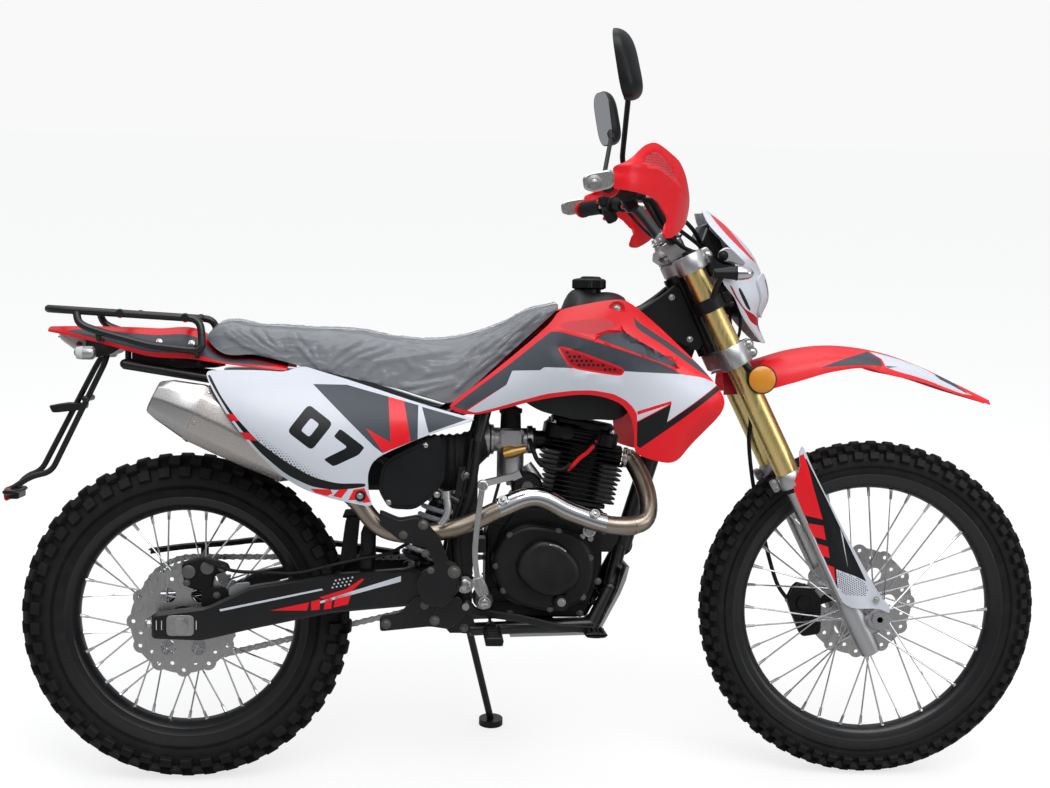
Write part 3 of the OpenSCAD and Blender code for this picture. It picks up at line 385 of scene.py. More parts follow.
def table_curve(table):
    """Rows of a table as a smooth function of their first column."""
    rows = np.array(table, float)
    x = rows[:, 0]
    slope = np.gradient(rows, x, axis=0)

    def at(value):
        value = min(max(value, x[0]), x[-1])
        i = min(max(int(np.searchsorted(x, value)) - 1, 0), len(x) - 2)
        h = x[i + 1] - x[i]
        t = (value - x[i]) / h
        return ((1 + 2 * t) * (1 - t) ** 2 * rows[i] + t * (1 - t) ** 2 * h * slope[i]
                + t * t * (3 - 2 * t) * rows[i + 1] + t * t * (t - 1) * h * slope[i + 1])
    return at


def bowed(t, low, middle, high):
    """A curve through three values, at 0, a half and 1."""
    return low * (1 - t) * (1 - 2 * t) + middle * 4 * t * (1 - t) + high * t * (2 * t - 1)


def fitted_side(table, order=4):
    """A smooth outer skin y(x, z) through a panel's rows: x, low, high, y at low, middle and high."""
    spots = []
    for x, low, high, *ys in table:
        for t in (0, 0.25, 0.5, 0.75, 1):
            spots.append((x, mix(low, high, t), bowed(t, *ys)))
    spots = np.array(spots)
    middle, size = spots[:, :2].mean(0), spots[:, :2].std(0) * 2
    powers = [(i, j) for i in range(order + 1) for j in range(order + 1 - i)]

    def terms(x, z):
        u, v = (x - middle[0]) / size[0], (z - middle[1]) / size[1]
        return np.array([u ** i * v ** j for i, j in powers])
    weights = np.linalg.lstsq(np.array([terms(x, z) for x, z, y in spots]), spots[:, 2], rcond=None)[0]
    return lambda x, z: float(terms(x, z) @ weights)


class Piece:
    """Shapes gathered into one piece, with a material mark for each face."""

    def __init__(self):
        self.points, self.faces, self.marks = [], [], []

    def add(self, shape, mark=0, at=None):
        points, faces = moved(shape, at) if at else shape
        first = len(self.points)
        self.points += [Vector(p) for p in points]
        self.faces += [[first + i for i in face] for face in faces]
        self.marks += list(mark) if hasattr(mark, "__len__") else [mark] * len(faces)
        return self

    def both(self, shape, mark=0):
        return self.add(shape, mark).add(mirrored(shape), mark)

    def bolts(self, spots, y, radius, height, mark):
        """Heads that face right, at places in side view."""
        for x, z in spots:
            self.add(bolt((x, y, z), RIGHTWARD, radius, height), mark)

    def make(self, name, place, materials, sharp=38, slot=None, replaces=()):
        matrix, body = PLACES[place]
        mesh = bpy.data.meshes.new(name)
        mesh.from_pydata([matrix @ p for p in self.points], [], self.faces)
        for material in materials:
            mesh.materials.append(material)
        mesh.polygons.foreach_set("material_index", self.marks)
        work = bmesh.new()
        work.from_mesh(mesh)
        bmesh.ops.recalc_face_normals(work, faces=work.faces)
        for face in work.faces:
            face.smooth = True
        work.to_mesh(mesh)
        work.free()
        mesh.set_sharp_from_angle(angle=math.radians(sharp))
        piece = bpy.data.objects.new(name, mesh)
        scene.collection.objects.link(piece)
        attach(piece, body)
        if replaces:
            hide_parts(*replaces)
        return piece


def coat_node(name, material):
    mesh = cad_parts[name].data
    mesh.materials.clear()
    mesh.materials.append(material)


# Wheels
LUG = 13
# Columns: place, radius, half width, rim flange, lug rows, hub flange offset and radius, hub's two ends, bore
WHEELS = [
    ("rear", 326, 55, 241, 46, 36, 40, 65.5, 74, 9.1),
    ("front", 344, 43, 278, 62, 34, 30, 57.5, 66, 10.1),
]
# Rows of lugs on half the tyre. Columns: low and high angle across, start and length along, lowered by
LUG_ROWS = [(2, 20, -0.27, 0.54, 0), (26, 46, 0.23, 0.54, 0.5), (54, 76, -0.29, 0.58, 2)]
SPOKES, SPOKE_R, LACE = 36, 1.7, math.radians(62)
ROUND = 128


def make_tyre(name, radius, half, flange, rows):
    middle = radius - half
    seat = half * 0.48 + 4
    crown = half - LUG
    arc = [math.radians(a) for a in range(-104, 105, 8)]
    profile = [(flange - 6, -seat + 3), (flange + 0.6, -seat), (flange + 7, -seat - 4)]
    profile += [(middle + crown * math.cos(a), crown * math.sin(a)) for a in arc]
    profile += [(flange + 7, seat + 4), (flange + 0.6, seat), (flange - 6, seat - 3)]
    tyre = Piece().add(turned(profile, ROUND))
    for ridge in (0.45, 0.62):
        for side in (-1, 1):
            r = mix(flange + 7, middle, ridge)
            tyre.add(turned([(r - 1.2, side * (crown - 2)), (r, side * (crown + 0.9)),
                             (r + 1.2, side * (crown - 2))], ROUND))
    pitch = math.tau / rows
    for low, high, start, length, drop in LUG_ROWS:
        for i in range(rows):
            for side in (-1, 1):
                a0 = (i + start) * pitch
                a1 = a0 + length * pitch
                rings = []
                for rise, taper in ((-2.0, -1.6), (LUG - 1.6 - drop, 0.0), (LUG - drop, 1.3)):
                    out = crown + rise
                    cut_across = math.degrees(taper / out)
                    cut_along = taper / radius
                    ring = []
                    for across, along in ((low + cut_across, a0 + cut_along),
                                          (high - cut_across, a0 + cut_along),
                                          (high - cut_across, a1 - cut_along),
                                          (low + cut_across, a1 - cut_along)):
                        across = math.radians(across)
                        r = middle + out * math.cos(across)
                        ring.append((r * math.sin(along), side * out * math.sin(across), r * math.cos(along)))
                    rings.append(ring)
                tyre.add(loft(rings))
    return tyre.make(name + "_tyre_tread", name, [RUBBER], 30, "tyre_rubber", (name + "_tyre",))


def make_rim(name, half, flange):
    seat = half * 0.48
    profile = [(flange - 29, -seat * 0.35), (flange - 30, 0), (flange - 29, seat * 0.35),
               (flange - 24, seat * 0.8), (flange - 16, seat + 1), (flange - 8, seat + 1.5),
               (flange - 2, seat + 4), (flange + 0.5, seat + 3.4), (flange, seat + 0.5),
               (flange - 10, seat - 1), (flange - 13, seat * 0.5), (flange - 18, seat * 0.3)]
    profile += [(r, -y) for r, y in profile[:2:-1]]
    rim = Piece().add(turned(profile, ROUND))
    return rim.make(name + "_rim_shell", name, [SATIN], 30, "black_paint", (name + "_rim",))


def make_hub(name, flange, side_y, side_r, wide, reach, bore):
    hub = Piece()
    hub.add(turned([(bore, -wide), (20, -wide), (22, -side_y - 9), (28, -side_y - 6),
                    (side_r + 7, -side_y - 5), (side_r + 8, -side_y), (side_r + 6, -side_y + 5),
                    (27, -side_y + 9), (23, 0), (27, side_y - 9), (side_r + 6, side_y - 5),
                    (side_r + 8, side_y), (side_r + 7, side_y + 5), (28, side_y + 6), (26, reach),
                    (bore, reach)], 64))
    for i in range(SPOKES):
        side, lace = 1 if i % 2 == 0 else -1, 1 if i // 2 % 2 == 0 else -1
        rim_a = math.tau * i / SPOKES
        hub_a = rim_a + lace * LACE
        root = Vector((side_r * math.sin(hub_a), side * (side_y + lace * 5.5), side_r * math.cos(hub_a)))
        bed = flange - 29
        tip = Vector((bed * math.sin(rim_a), side * (6 + lace * 2), bed * math.cos(rim_a)))
        hub.add(tube([root, tip], SPOKE_R, 8), 1)
        hub.add(tube([tip, tip.lerp(root, 0.012), tip.lerp(root, 0.085)], [4.4, 3.4, 2.8], 8), 1)
        elbow = Vector((0, side * lace, 0))
        hub.add(tube([root - 9 * elbow, root + 1.5 * elbow], 2.6, 8), 1)
    return hub.make(name + "_hub_and_spokes", name, [ALLOY if name == "front" else CAST, CHROME], 35,
                    "silver_alloy", (name + "_hub",))


for place, radius, half, flange, rows, *_ in WHEELS:
    make_tyre(place, radius, half, flange, rows)
    make_rim(place, half, flange)
for place, _, _, flange, _, *hub in WHEELS:
    make_hub(place, flange, *hub)
for name in ("front_disc", "rear_disc"):
    coat_node(name, STEEL)
coat_node("rear_sprocket", ALLOY)


# Shrouds
SHROUD_ROWS = [
    [508, 752, 762, 116, 117, 116], [542, 744, 782, 121, 122, 119], [568, 742, 800, 127, 129, 121],
    [609, 752, 830, 137, 141, 124], [686, 778, 887, 146, 156, 126], [735, 782, 947, 150, 165, 116],
    [801, 782, 964, 152, 172, 112], [850, 766, 968, 154, 176, 112], [866, 738, 959, 156, 178, 114],
    [873, 671, 954, 160, 180, 116], [929, 654, 906, 170, 184, 128], [960, 664, 877, 176, 186, 138],
    [993, 705, 845, 180, 187, 150], [1034, 749, 788, 182, 184, 174], [1041, 770, 780, 182, 183, 180]
]
SHROUD_EDGE = [
    (510, 760), (526, 748), (559, 742), (600, 750), (686, 775), (760, 786), (801, 784), (842, 770),
    (862, 744), (868, 715), (869, 682), (876, 670), (929, 655), (954, 661), (977, 691), (1034, 749),
    (1042, 772), (1036, 792), (993, 845), (914, 921), (858, 967), (830, 969), (738, 951), (722, 942),
    (710, 923), (675, 891), (627, 850), (573, 806)
]
SHROUD_GREY = [
    (520, 758), (573, 799), (630, 842), (676, 880), (708, 905, 0.05), (727, 904), (785, 888), (841, 871),
    (915, 847), (946, 833, 0.05), (954, 827, 0), (851, 831), (746, 836), (694, 837, 0.1), (686, 831, 0.1),
    (634, 829, 0.05), (623, 802, 0.05), (545, 751, 0.05)
]
SHROUD_WHITE = [
    (549, 751, 0.05), (623, 802, 0.05), (634, 829, 0.05), (686, 831, 0.1), (694, 837, 0.1), (746, 836),
    (851, 831), (954, 827, 0), (997, 821), (1027, 809, 0), (928, 736, 0), (936, 772, 0), (873, 736, 0),
    (872, 750), (864, 763), (850, 776), (826, 788), (787, 794), (751, 793), (699, 786), (641, 769),
    (606, 758), (566, 747)
]
SHROUD_LINE = [(872, 755), (935, 776), (936, 771), (873, 748)]
SHROUD_BLACK = [(873, 734), (935, 770), (928, 735), (1028, 808), (1036, 803), (880, 684), (874, 688)]
SHROUD_WINDOW = [
    (791, 893), (804, 901), (846, 907), (859, 898), (946, 850), (948, 839), (933, 843), (859, 869)
]
SHROUD_STRIPE = [
    (865, 936), (876, 925), (932, 889), (1015, 829), (1008, 823), (996, 830), (925, 880), (871, 913)
]
SHROUD_VENT = [
    (716, 873), (726, 880), (745, 876), (841, 842), (850, 833), (845, 822), (834, 819), (750, 831), (733, 844)
]
# A matte panel; its paler red is partly a painted highlight
SHROUD_MATTE_AND_HIGHLIGHT = [(722, 917), (735, 924), (810, 932), (823, 926), (829, 916), (785, 898), (731, 910)]
SHROUD_BOLT = (834, 950)
SCOOP = [(1023, 784), (983, 752), (958, 720), (946, 688), (943, 662)]
shroud_skin = fitted_side(SHROUD_ROWS)


def near_run(run, x, z):
    """Distance to a run of straight lines, and which side of it the point lies on."""
    best, side = 1e9, 0
    for (ax, az), (bx, bz) in zip(run, run[1:]):
        d = Vector((bx - ax, bz - az))
        t = max(0, min(1, ((x - ax) * d.x + (z - az) * d.y) / d.length_squared))
        gap = math.hypot(x - ax - t * d.x, z - az - t * d.y)
        if gap < best:
            best, side = gap, d.x * (z - az) - d.y * (x - ax)
    return best, side


def bump_at(distance, width):
    return max(0.0, 1 - (distance / width) ** 2) ** 2


SHROUD_CREASE = [
    (525, 757), (573, 799), (678, 875), (708, 904), (729, 909), (789, 893), (841, 876), (915, 852),
    (1003, 818)
]


def shroud_at(x, z):
    y = shroud_skin(x, z)
    gap, side = near_run(SHROUD_CREASE, x, z)
    y += 3.0 * bump_at(gap, 14)
    gap, side = near_run(SCOOP, x, z)
    if side > 0:
        y -= min(gap, 40) * 0.55
    if inside(SHROUD_WINDOW, x, z):
        y -= 6
    if inside(SHROUD_VENT, x, z):
        y -= 5
    return Vector((x, -y, z))


def dots(loop, pitch, radius, sides=6, margin=0.0):
    """Small round marks in rows, kept inside a loop."""
    xs, zs = [p[0] for p in loop], [p[1] for p in loop]
    marks = []
    for j in range(int((max(zs) - min(zs)) / (pitch * 0.87)) + 1):
        for i in range(int((max(xs) - min(xs)) / pitch) + 2):
            x = min(xs) + (i + 0.5 * (j % 2)) * pitch
            z = min(zs) + j * pitch * 0.87
            r = radius(x, z) if callable(radius) else radius
            if r > 0.4 and all(inside(loop, x + (r + margin) * math.cos(a), z + (r + margin) * math.sin(a))
                               for a in angles(6)):
                marks.append([(x + r * math.cos(a), z + r * math.sin(a)) for a in angles(sides)])
    return marks


# The floor of the set-back vent is painted in the deep red as painted shade in its recess
vent_floor = rounded(inset(SHROUD_VENT, 7), 0.3)
graphics = [(rounded(SHROUD_GREY, 0.1), 1), (rounded(SHROUD_WHITE, 0.25), 2), (SHROUD_LINE, 0),
            (SHROUD_BLACK, 3), (rounded(SHROUD_MATTE_AND_HIGHLIGHT, 0.35), 4), (rounded(SHROUD_WINDOW, 0.25), 5),
            (rounded(SHROUD_STRIPE, 0.2), 1), (rounded(inset(SHROUD_VENT, -3), 0.3), 0), (vent_floor, 6)]
graphics += [(dot, 3) for dot in dots(vent_floor, 9, 3.0, 8, margin=0.6)]
shape, marks = decorated(rounded(SHROUD_EDGE, 0.4), graphics, shroud_at, 12, 3.2)
shrouds = Piece().both(shape, marks)
bolt_at = shroud_at(*SHROUD_BOLT)
cup = turned([(0.01, -2), (10, -2), (12, 0.5), (15, 1.5), (16, 0), (13, -4), (0.01, -4)], 24)
shrouds.both(moved(cup, shift(*bolt_at) @ turn(math.pi, "Z")), 0)
shrouds.both(bolt(bolt_at + Vector((0, 1.5, 0)), RIGHTWARD, 6, 4), 7)
shrouds.make("shroud_covers", "chassis", [RED, GREY, WHITE, BLACK, PALE_RED_AND_HIGHLIGHT, GREY, DEEP_RED_AND_SHADE, STEEL], 40,
             "red_plastic", ("shrouds",))


# Side panels
SIDE_ROWS = [
    [52, 812, 822, 136, 138, 130], [63, 796, 823, 146, 146, 134], [109, 730, 822, 177, 182, 138],
    [156, 674, 822, 188, 190, 140], [203, 636, 823, 184, 190, 138], [235, 617, 833, 184, 190, 136],
    [287, 595, 822, 180, 188, 134], [330, 583, 811, 174, 182, 132], [360, 574, 803, 168, 176, 128],
    [366, 628, 802, 168, 174, 127], [388, 664, 797, 166, 168, 125], [420, 677, 788, 158, 160, 122],
    [477, 701, 770, 146, 146, 117], [540, 723, 749, 130, 130, 118], [568, 733, 741, 123, 123, 121]
]
SIDE_EDGE = [
    (53, 818), (62, 824), (151, 825), (200, 822, 0.2), (235, 834), (258, 827), (330, 806), (453, 766),
    (509, 750), (566, 735), (555, 730), (475, 706), (388, 669), (368, 653), (360, 630), (362, 597),
    (369, 572, 0.2), (360, 569), (331, 576), (288, 586), (237, 603), (194, 630), (151, 673), (101, 737),
    (62, 798)
]
SIDE_GREY = [(256, 800), (319, 799), (455, 761), (454, 697), (388, 671), (372, 684)]
SIDE_RED = [(398, 777), (428, 768), (441, 692), (390, 672), (357, 718), (403, 691)]
SIDE_GREY_TIP = [(462, 758), (548, 734), (475, 709)]
SIDE_STRIPE = [
    (57, 814), (62, 815), (85, 777), (112, 741), (155, 694), (208, 655), (259, 626), (305, 614), (356, 614),
    (356, 607), (302, 601), (255, 608), (208, 630), (158, 673), (108, 736), (66, 798)
]
SIDE_CHIPS = [
    [(90, 744), (110, 743), (121, 731), (101, 729)], [(119, 710), (140, 709), (155, 694), (133, 696)],
    [(253, 604), (291, 603), (295, 595), (284, 590), (262, 596)],
    [(307, 603), (324, 603), (311, 586), (295, 590)],
    [(334, 602), (354, 605), (366, 577), (354, 576), (344, 582), (324, 582)]
]
SIDE_DOTS = [(137, 727), (165, 705), (295, 617), (237, 630), (194, 660), (151, 700)]
SIDE_BOLT = (346, 590)
DIGIT_TILT = math.radians(-37.6)
# A plain generic number. Columns: middle, outline, counter; on the digit's own axes
DIGITS = [
    ((253, 720), [(-29, -32), (29, -32), (29, 32), (-29, 32)], [(-10, -15), (10, -15), (10, 15), (-10, 15)]),
    ((312, 675), [(-29, 32), (29, 32), (29, 14), (5, -32), (-18, -32), (4, 13), (-29, 13)], None)
]
side_skin = fitted_side(SIDE_ROWS, 4)


def side_at(x, z):
    return Vector((x, -side_skin(x, z), z))


def set_digit(loop, middle):
    c, s = math.cos(DIGIT_TILT), math.sin(DIGIT_TILT)
    return [(middle[0] + u * c - v * s, middle[1] + u * s + v * c) for u, v in loop]


def side_sheet(way):
    """The right panel's sheet; way -1 sets the number to read right once it is mirrored to the left."""
    graphics = [(SIDE_GREY, 1), (SIDE_RED, 2), (SIDE_GREY_TIP, 1), (rounded(SIDE_STRIPE, 0.3), 3)]
    graphics += [(chip, 2) for chip in SIDE_CHIPS]
    for (middle, _, _), (_, outer, counter) in zip(DIGITS[::way], DIGITS):
        for loop, share, mark in ((outer, 0.16, 3), (counter, 0.2, 0)):
            if loop:
                graphics.append((set_digit([(way * u, v) for u, v in rounded(loop, share)], middle), mark))
    fade = SIDE_DOTS[:3]
    graphics += [(dot, 3) for dot in dots(SIDE_DOTS, 5.6,
                                          lambda x, z: min(2.0, 0.3 + 0.09 * near_run(fade, x, z)[0]))]
    return decorated(rounded(SIDE_EDGE, 0.4), graphics, side_at, 14, 3.0)


panels = Piece().add(*side_sheet(1))
shape, marks = side_sheet(-1)
panels.add(mirrored(shape), marks)
spot = side_at(*SIDE_BOLT)
panels.both(moved(turned([(0.01, 3), (9, 3), (11, 0), (0.01, 0)], 24), shift(*spot) @ turn(math.pi, "Z")), 3)
panels.both(bolt(spot + Vector((0, -2.5, 0)), RIGHTWARD, 4.5, 2.5), 4)
panels.make("side_covers", "chassis", [WHITE, GREY, RED, BLACK, STEEL], 40, "white_plastic", ("side_panels",))


# Seat under its clear film
# Columns: x, low edge, top, half width, roundness
SEAT_ROWS = [
    [50, 884, 890, 96, 0.35], [64, 868, 905, 106, 0.35], [150, 852, 909, 118, 0.35],
    [250, 828, 905, 124, 0.35], [338, 808, 902, 122, 0.38], [418, 790, 889, 112, 0.42],
    [477, 772, 885, 102, 0.45], [520, 764, 889, 95, 0.45], [557, 792, 897, 90, 0.5], [617, 848, 918, 84, 0.5],
    [676, 902, 948, 80, 0.5], [726, 949, 960, 74, 0.5]
]
# Folds of the film in side view
FOLDS = [
    [(91, 892), (124, 871), (163, 856)], [(102, 895), (141, 869), (193, 845)],
    [(115, 897), (154, 869), (202, 846)], [(141, 897), (171, 872), (197, 856)],
    [(167, 898), (184, 874), (197, 861)], [(215, 896), (202, 865)], [(223, 901), (241, 879)],
    [(228, 870), (248, 848), (267, 831)], [(254, 862), (267, 831)], [(271, 871), (269, 831)],
    [(282, 864), (274, 831)], [(341, 880), (306, 862), (280, 831)], [(385, 876), (333, 858), (289, 827)],
    [(403, 868), (346, 849), (311, 827)], [(351, 814), (372, 841), (416, 848), (469, 855), (513, 865)],
    [(429, 850), (441, 833)], [(482, 833), (509, 834), (535, 843)], [(474, 820), (522, 829), (549, 843)],
    [(425, 795), (469, 800), (522, 809)], [(443, 780), (487, 793), (527, 803)],
    [(549, 816), (580, 848), (606, 864), (633, 857)], [(527, 789), (562, 821), (615, 862), (650, 897)],
    [(579, 866), (623, 897), (667, 933)], [(602, 866), (641, 902), (685, 938)],
    [(575, 879), (614, 906), (654, 935)], [(427, 884), (440, 868), (473, 860)], [(359, 854), (381, 859)],
    [(535, 843), (562, 874), (592, 897)], [(619, 888), (646, 871), (672, 876)],
    [(311, 809), (324, 827), (342, 841)], [(390, 801), (390, 821)], [(406, 795), (410, 815)]
]
FOLD_HIGH, FOLD_WIDE = 4.6, 7.5
FILM_OFF = 1.4
SEAM = 0.29
SEAT_REAR, SEAT_FRONT = SEAT_ROWS[0][0], SEAT_ROWS[-1][0]
seat_row = table_curve(SEAT_ROWS)


def seat_at(x, t, out=0.0):
    """The seat's skin: t runs from the right low edge over the top to the left one."""
    _, low, top, half, power = seat_row(x)
    c, s = math.cos(math.pi * t), math.sin(math.pi * t)
    n = 2 / power
    r = (abs(c) ** n + abs(s) ** n) ** (-1 / n)
    skin = Vector((x, -half * r * c, low + (top - low) * r * s))
    away = Vector((0, -c * abs(c) ** 0.6, s * abs(s) ** 0.6 + 0.02)).normalized()
    return skin + away * out


def spaced(low, high, count):
    return [mix(low, high, i / (count - 1)) for i in range(count)]


rings = []
for x in spaced(SEAT_REAR, SEAT_FRONT, 70):
    rings.append([seat_at(x, t, -2.4 * bump_at(min(abs(t - SEAM), abs(1 - t - SEAM)), 0.022))
                  for t in spaced(0, 1, 56)])
seat = Piece().add(loft(rings))
for side in (SEAM, 1 - SEAM):
    seat.add(tube([seat_at(x, side, -1.0) for x in spaced(SEAT_REAR + 2, SEAT_FRONT - 2, 60)], 1.7, 8), 1)
seat = seat.make("seat_cushion", "chassis", [VINYL, BLACK], 40, "seat_vinyl", ("seat",))


def fold_height(x, z):
    """How far the film stands off along its folds, for arrays of places."""
    high = np.zeros_like(x)
    for run in FOLDS:
        near = np.full_like(x, 1e9)
        for (ax, az), (bx, bz) in zip(run, run[1:]):
            dx, dz = bx - ax, bz - az
            t = np.clip(((x - ax) * dx + (z - az) * dz) / (dx * dx + dz * dz), 0, 1)
            near = np.minimum(near, np.hypot(x - ax - t * dx, z - az - t * dz))
        high = np.maximum(high, np.clip(1 - (near / FOLD_WIDE) ** 2, 0, 1) ** 1.5)
    return high * FOLD_HIGH


def film_sheet():
    """The film over the seat: folds as seen on the side, finer creases everywhere."""
    along, around = 200, 120
    xs, ts = spaced(SEAT_REAR + 1, SEAT_FRONT - 1, along), spaced(0.004, 0.996, around)
    skin = np.array([[seat_at(x, t) for t in ts] for x in xs])
    off = np.array([[seat_at(x, t, 1) for t in ts] for x in xs]) - skin
    side = np.clip((np.abs(off[..., 1]) - 0.35) / 0.5, 0, 1)
    ridge = 0
    # Columns: size along, across and up, start, sharpness, height
    for long, wide, tall, start, sharp, high in ((46, 30, 17, 0, 3.2, 2.6), (19, 26, 13, 7, 3.6, 1.5)):
        waves = np.array([[noise.noise(Vector((x / long + start, y / wide, z / tall))) for x, y, z in row]
                          for row in skin])
        ridge = ridge + np.clip(1 - sharp * np.abs(waves), 0, 1) ** 2 * high
    folds = fold_height(skin[..., 0], skin[..., 2])
    skin = skin + off * (FILM_OFF + folds * side + ridge * (1 - 0.45 * side))[..., None]
    points = [Vector(p) for p in skin.reshape(-1, 3)]
    faces = [[i * around + j, i * around + j + 1, (i + 1) * around + j + 1, (i + 1) * around + j]
             for i in range(along - 1) for j in range(around - 1)]
    film = Piece().add((points, faces)).make("seat_film", "chassis", [FILM], 80, "lamp_lens")


film_sheet()

# Tank with its cap, and the covers beside the steering head
# Columns: x, low edge, side top, crown, lower half width, upper half width, tunnel half width, tunnel roof
TANK_ROWS = [
    [628, 790, 838, 848, 100, 60, 46, 836], [690, 752, 880, 902, 128, 70, 54, 868],
    [738, 740, 920, 944, 134, 78, 54, 886], [746, 738, 938, 966, 134, 80, 54, 889],
    [800, 736, 945, 982, 134, 84, 54, 911], [850, 742, 944, 981, 134, 80, 48, 932],
    [874, 765, 925, 968, 130, 66, 38, 942]
]
TANK_REAR, TANK_FRONT = TANK_ROWS[0][0], TANK_ROWS[-1][0]
CAP_AT = (794, 0, 985)
KNURLS = 72
HEAD_COVER = [
    (875, 884), (875, 944), (890, 950), (939, 984), (958, 1001), (970, 996), (1002, 925), (1020, 884),
    (1006, 868), (948, 894), (905, 880)
]


def half_ring(low, side, crown, lower, upper):
    return [(lower - 8, low), (lower, mix(low, side, 0.3)), (lower, mix(low, side, 0.65)),
            (upper + 22, side - 2), (upper * 0.6, crown - 6), (0, crown)]


tank_row = table_curve(TANK_ROWS)
rings = []
for x in spaced(TANK_REAR, TANK_FRONT, 40):
    _, low, side, crown, lower, upper, tunnel, roof = tank_row(x)
    shrink = 1 - 0.05 * bump_at(min(x - TANK_REAR, TANK_FRONT - x), 14)
    half = half_ring(low, side, crown, lower, upper)
    skin = spline([(-y, z) for y, z in half] + half[-2::-1], 5)
    rings.append([(x, p[0] * shrink, mix(low, p[1], shrink)) for p in skin]
                 + [(x, tunnel, low), (x, tunnel, min(roof, crown - 12)), (x, -tunnel, min(roof, crown - 12)),
                    (x, -tunnel, low)])
tank = Piece().add(loft(rings))
upright = turn(math.pi / 2, "X")
tank.add(turned([(0.01, -16), (24, -16), (24, 6), (0.01, 6)], 40), 0, shift(*CAP_AT) @ upright)


def cap_shape(rows, count, wave):
    """A wavy knob. Rows: radius, height; wave(i, angle) is the share of the radius."""
    return loft([[(radius * wave(i, a) * math.cos(a), radius * wave(i, a) * math.sin(a), high)
                  for i, a in enumerate(angles(count))] for radius, high in rows])


knob = cap_shape(((27, 4), (34, 7), (34, 22), (31, 25), (22, 26.5)), KNURLS, lambda i, a: 1 - 0.035 * (i % 2))
tank.add(knob, 0, shift(*CAP_AT))
key = cap_shape(((19, 25), (19, 28), (16, 30), (8, 30.4)), 48, lambda i, a: 1 + 0.28 * math.cos(3 * a))
tank.add(key, 0, shift(*CAP_AT))
tank.both(bar((832, -86, 946), (832, -118, 946), 8, 16), 0)
tank.both(bar((700, -118, 800), (700, -145, 800), 8, 16), 0)
tank.make("tank_shell", "chassis", [BLACK], 36, "black_plastic", ("fuel_tank",))
covers = Piece().both(plate(HEAD_COVER, 0.3, -58, -44, 3))
for at in ((952, -58, 975), (990, -58, 893)):
    covers.both(bolt(at, RIGHTWARD, 4.5, 3), 1)
covers.make("head_cover_plates", "chassis", [BLACK, STEEL], 40, "black_plastic", ("head_covers",))


# Arched covers: tail and front fender
# Columns: x, edge height, crown height, half width
TAIL_ROWS = [
    [-262, 892, 902, 34], [-225, 886, 903, 60], [-140, 868, 903, 84], [-60, 848, 901, 100],
    [36, 842, 893, 112], [49, 840, 883.6, 114], [64, 838, 867.4, 116], [150, 828, 851.4, 124],
    [205, 824, 838.2, 127]
]
FENDER_ROWS = [
    [1062, 785, 837.2, 62], [1121, 790, 851, 66], [1198, 812, 874, 80], [1279, 836, 884, 86],
    [1345, 842, 879, 86], [1386, 830, 871, 84], [1451, 817, 850, 76], [1528, 793, 815, 58],
    [1609, 770, 777, 20]
]
ARCH = 0.7
# Graphics on the arch: x and the angle up from its edge
TAIL_GREY = [
    (-226, 16), (-205, 40), (-60, 46), (30, 44, 0.05), (64, 30), (150, 27), (192, 14), (150, 6), (64, 5),
    (-60, 4), (-150, 5)
]
# Graphics in side view
FENDER_GREY = [
    (1249, 842, 0.05), (1275, 853), (1309, 865), (1347, 873, 0.05), (1370, 861, 0.05), (1372, 847, 0.05),
    (1338, 849), (1293, 847)
]
FENDER_WHITE = [
    (1352, 873, 0.05), (1381, 867), (1416, 858), (1451, 845), (1487, 829), (1523, 811), (1566, 789, 0),
    (1541, 793), (1502, 806), (1470, 818), (1438, 828), (1403, 837), (1378, 846, 0.05), (1373, 861, 0.05)
]
FENDER_MARKS = [
    [(1377, 848), (1405, 846), (1384, 844)], [(1486, 829), (1508, 824), (1560, 790), (1519, 810), (1495, 821)]
]
# Painted shade on the rear end of the front fender, drawn as x and the angle up from its edge
FENDER_SHADE = [(1062, 0), (1138, 0), (1124, 40), (1150, 62), (1125, 76), (1090, 90), (1062, 90)]


def arch_skin(table, ripple=None):
    row = table_curve(table)

    def at(x, angle):
        _, edge, crown, half = row(x)
        a = math.radians(min(max(angle, 0), 100))
        lift = ripple(x, angle) if ripple else 0
        return Vector((x, -(half + lift) * math.cos(a), edge + (crown + lift - edge) * math.sin(a) ** ARCH))
    return at


def on_arch(table, loop):
    """Side-view points as angles up the arch."""
    row = table_curve(table)
    moved_loop = []
    for x, z, *cut in loop:
        _, edge, crown, half = row(x)
        share = min(max((z - edge) / (crown - edge), 0.01), 0.995)
        moved_loop.append((x, math.degrees(math.asin(share ** (1 / ARCH))), *cut))
    return moved_loop


def arch_edge(table, steps=24):
    low, high = table[0][0], table[-1][0]
    return [(x, 0) for x in spaced(low, high, steps)] + [(x, 90) for x in spaced(high, low, steps)]


def tail_ripple(x, angle):
    return -2.2 * bump_at(angle - 47, 5)


shape, marks = decorated(arch_edge(TAIL_ROWS), [(rounded(TAIL_GREY, 0.3), 1)],
                         arch_skin(TAIL_ROWS, tail_ripple), 9, 3.4)
tail = Piece().both(shape, marks)
for x in (-40, 22):
    tail.both(bolt(arch_skin(TAIL_ROWS)(x, 24), (0, -1, 0.35), 4.2, 2.6), 2)
tail.make("tail_cover", "chassis", [RED, GREY, STEEL], 40, "red_plastic", ("tail",))


def fender_ripple(x, angle):
    """A rolled crown, and an edge that turns out."""
    return 2.4 * bump_at(angle - 52, 9) * min(1, max(0, (x - 1110) / 60)) + 1.8 * bump_at(angle, 12)


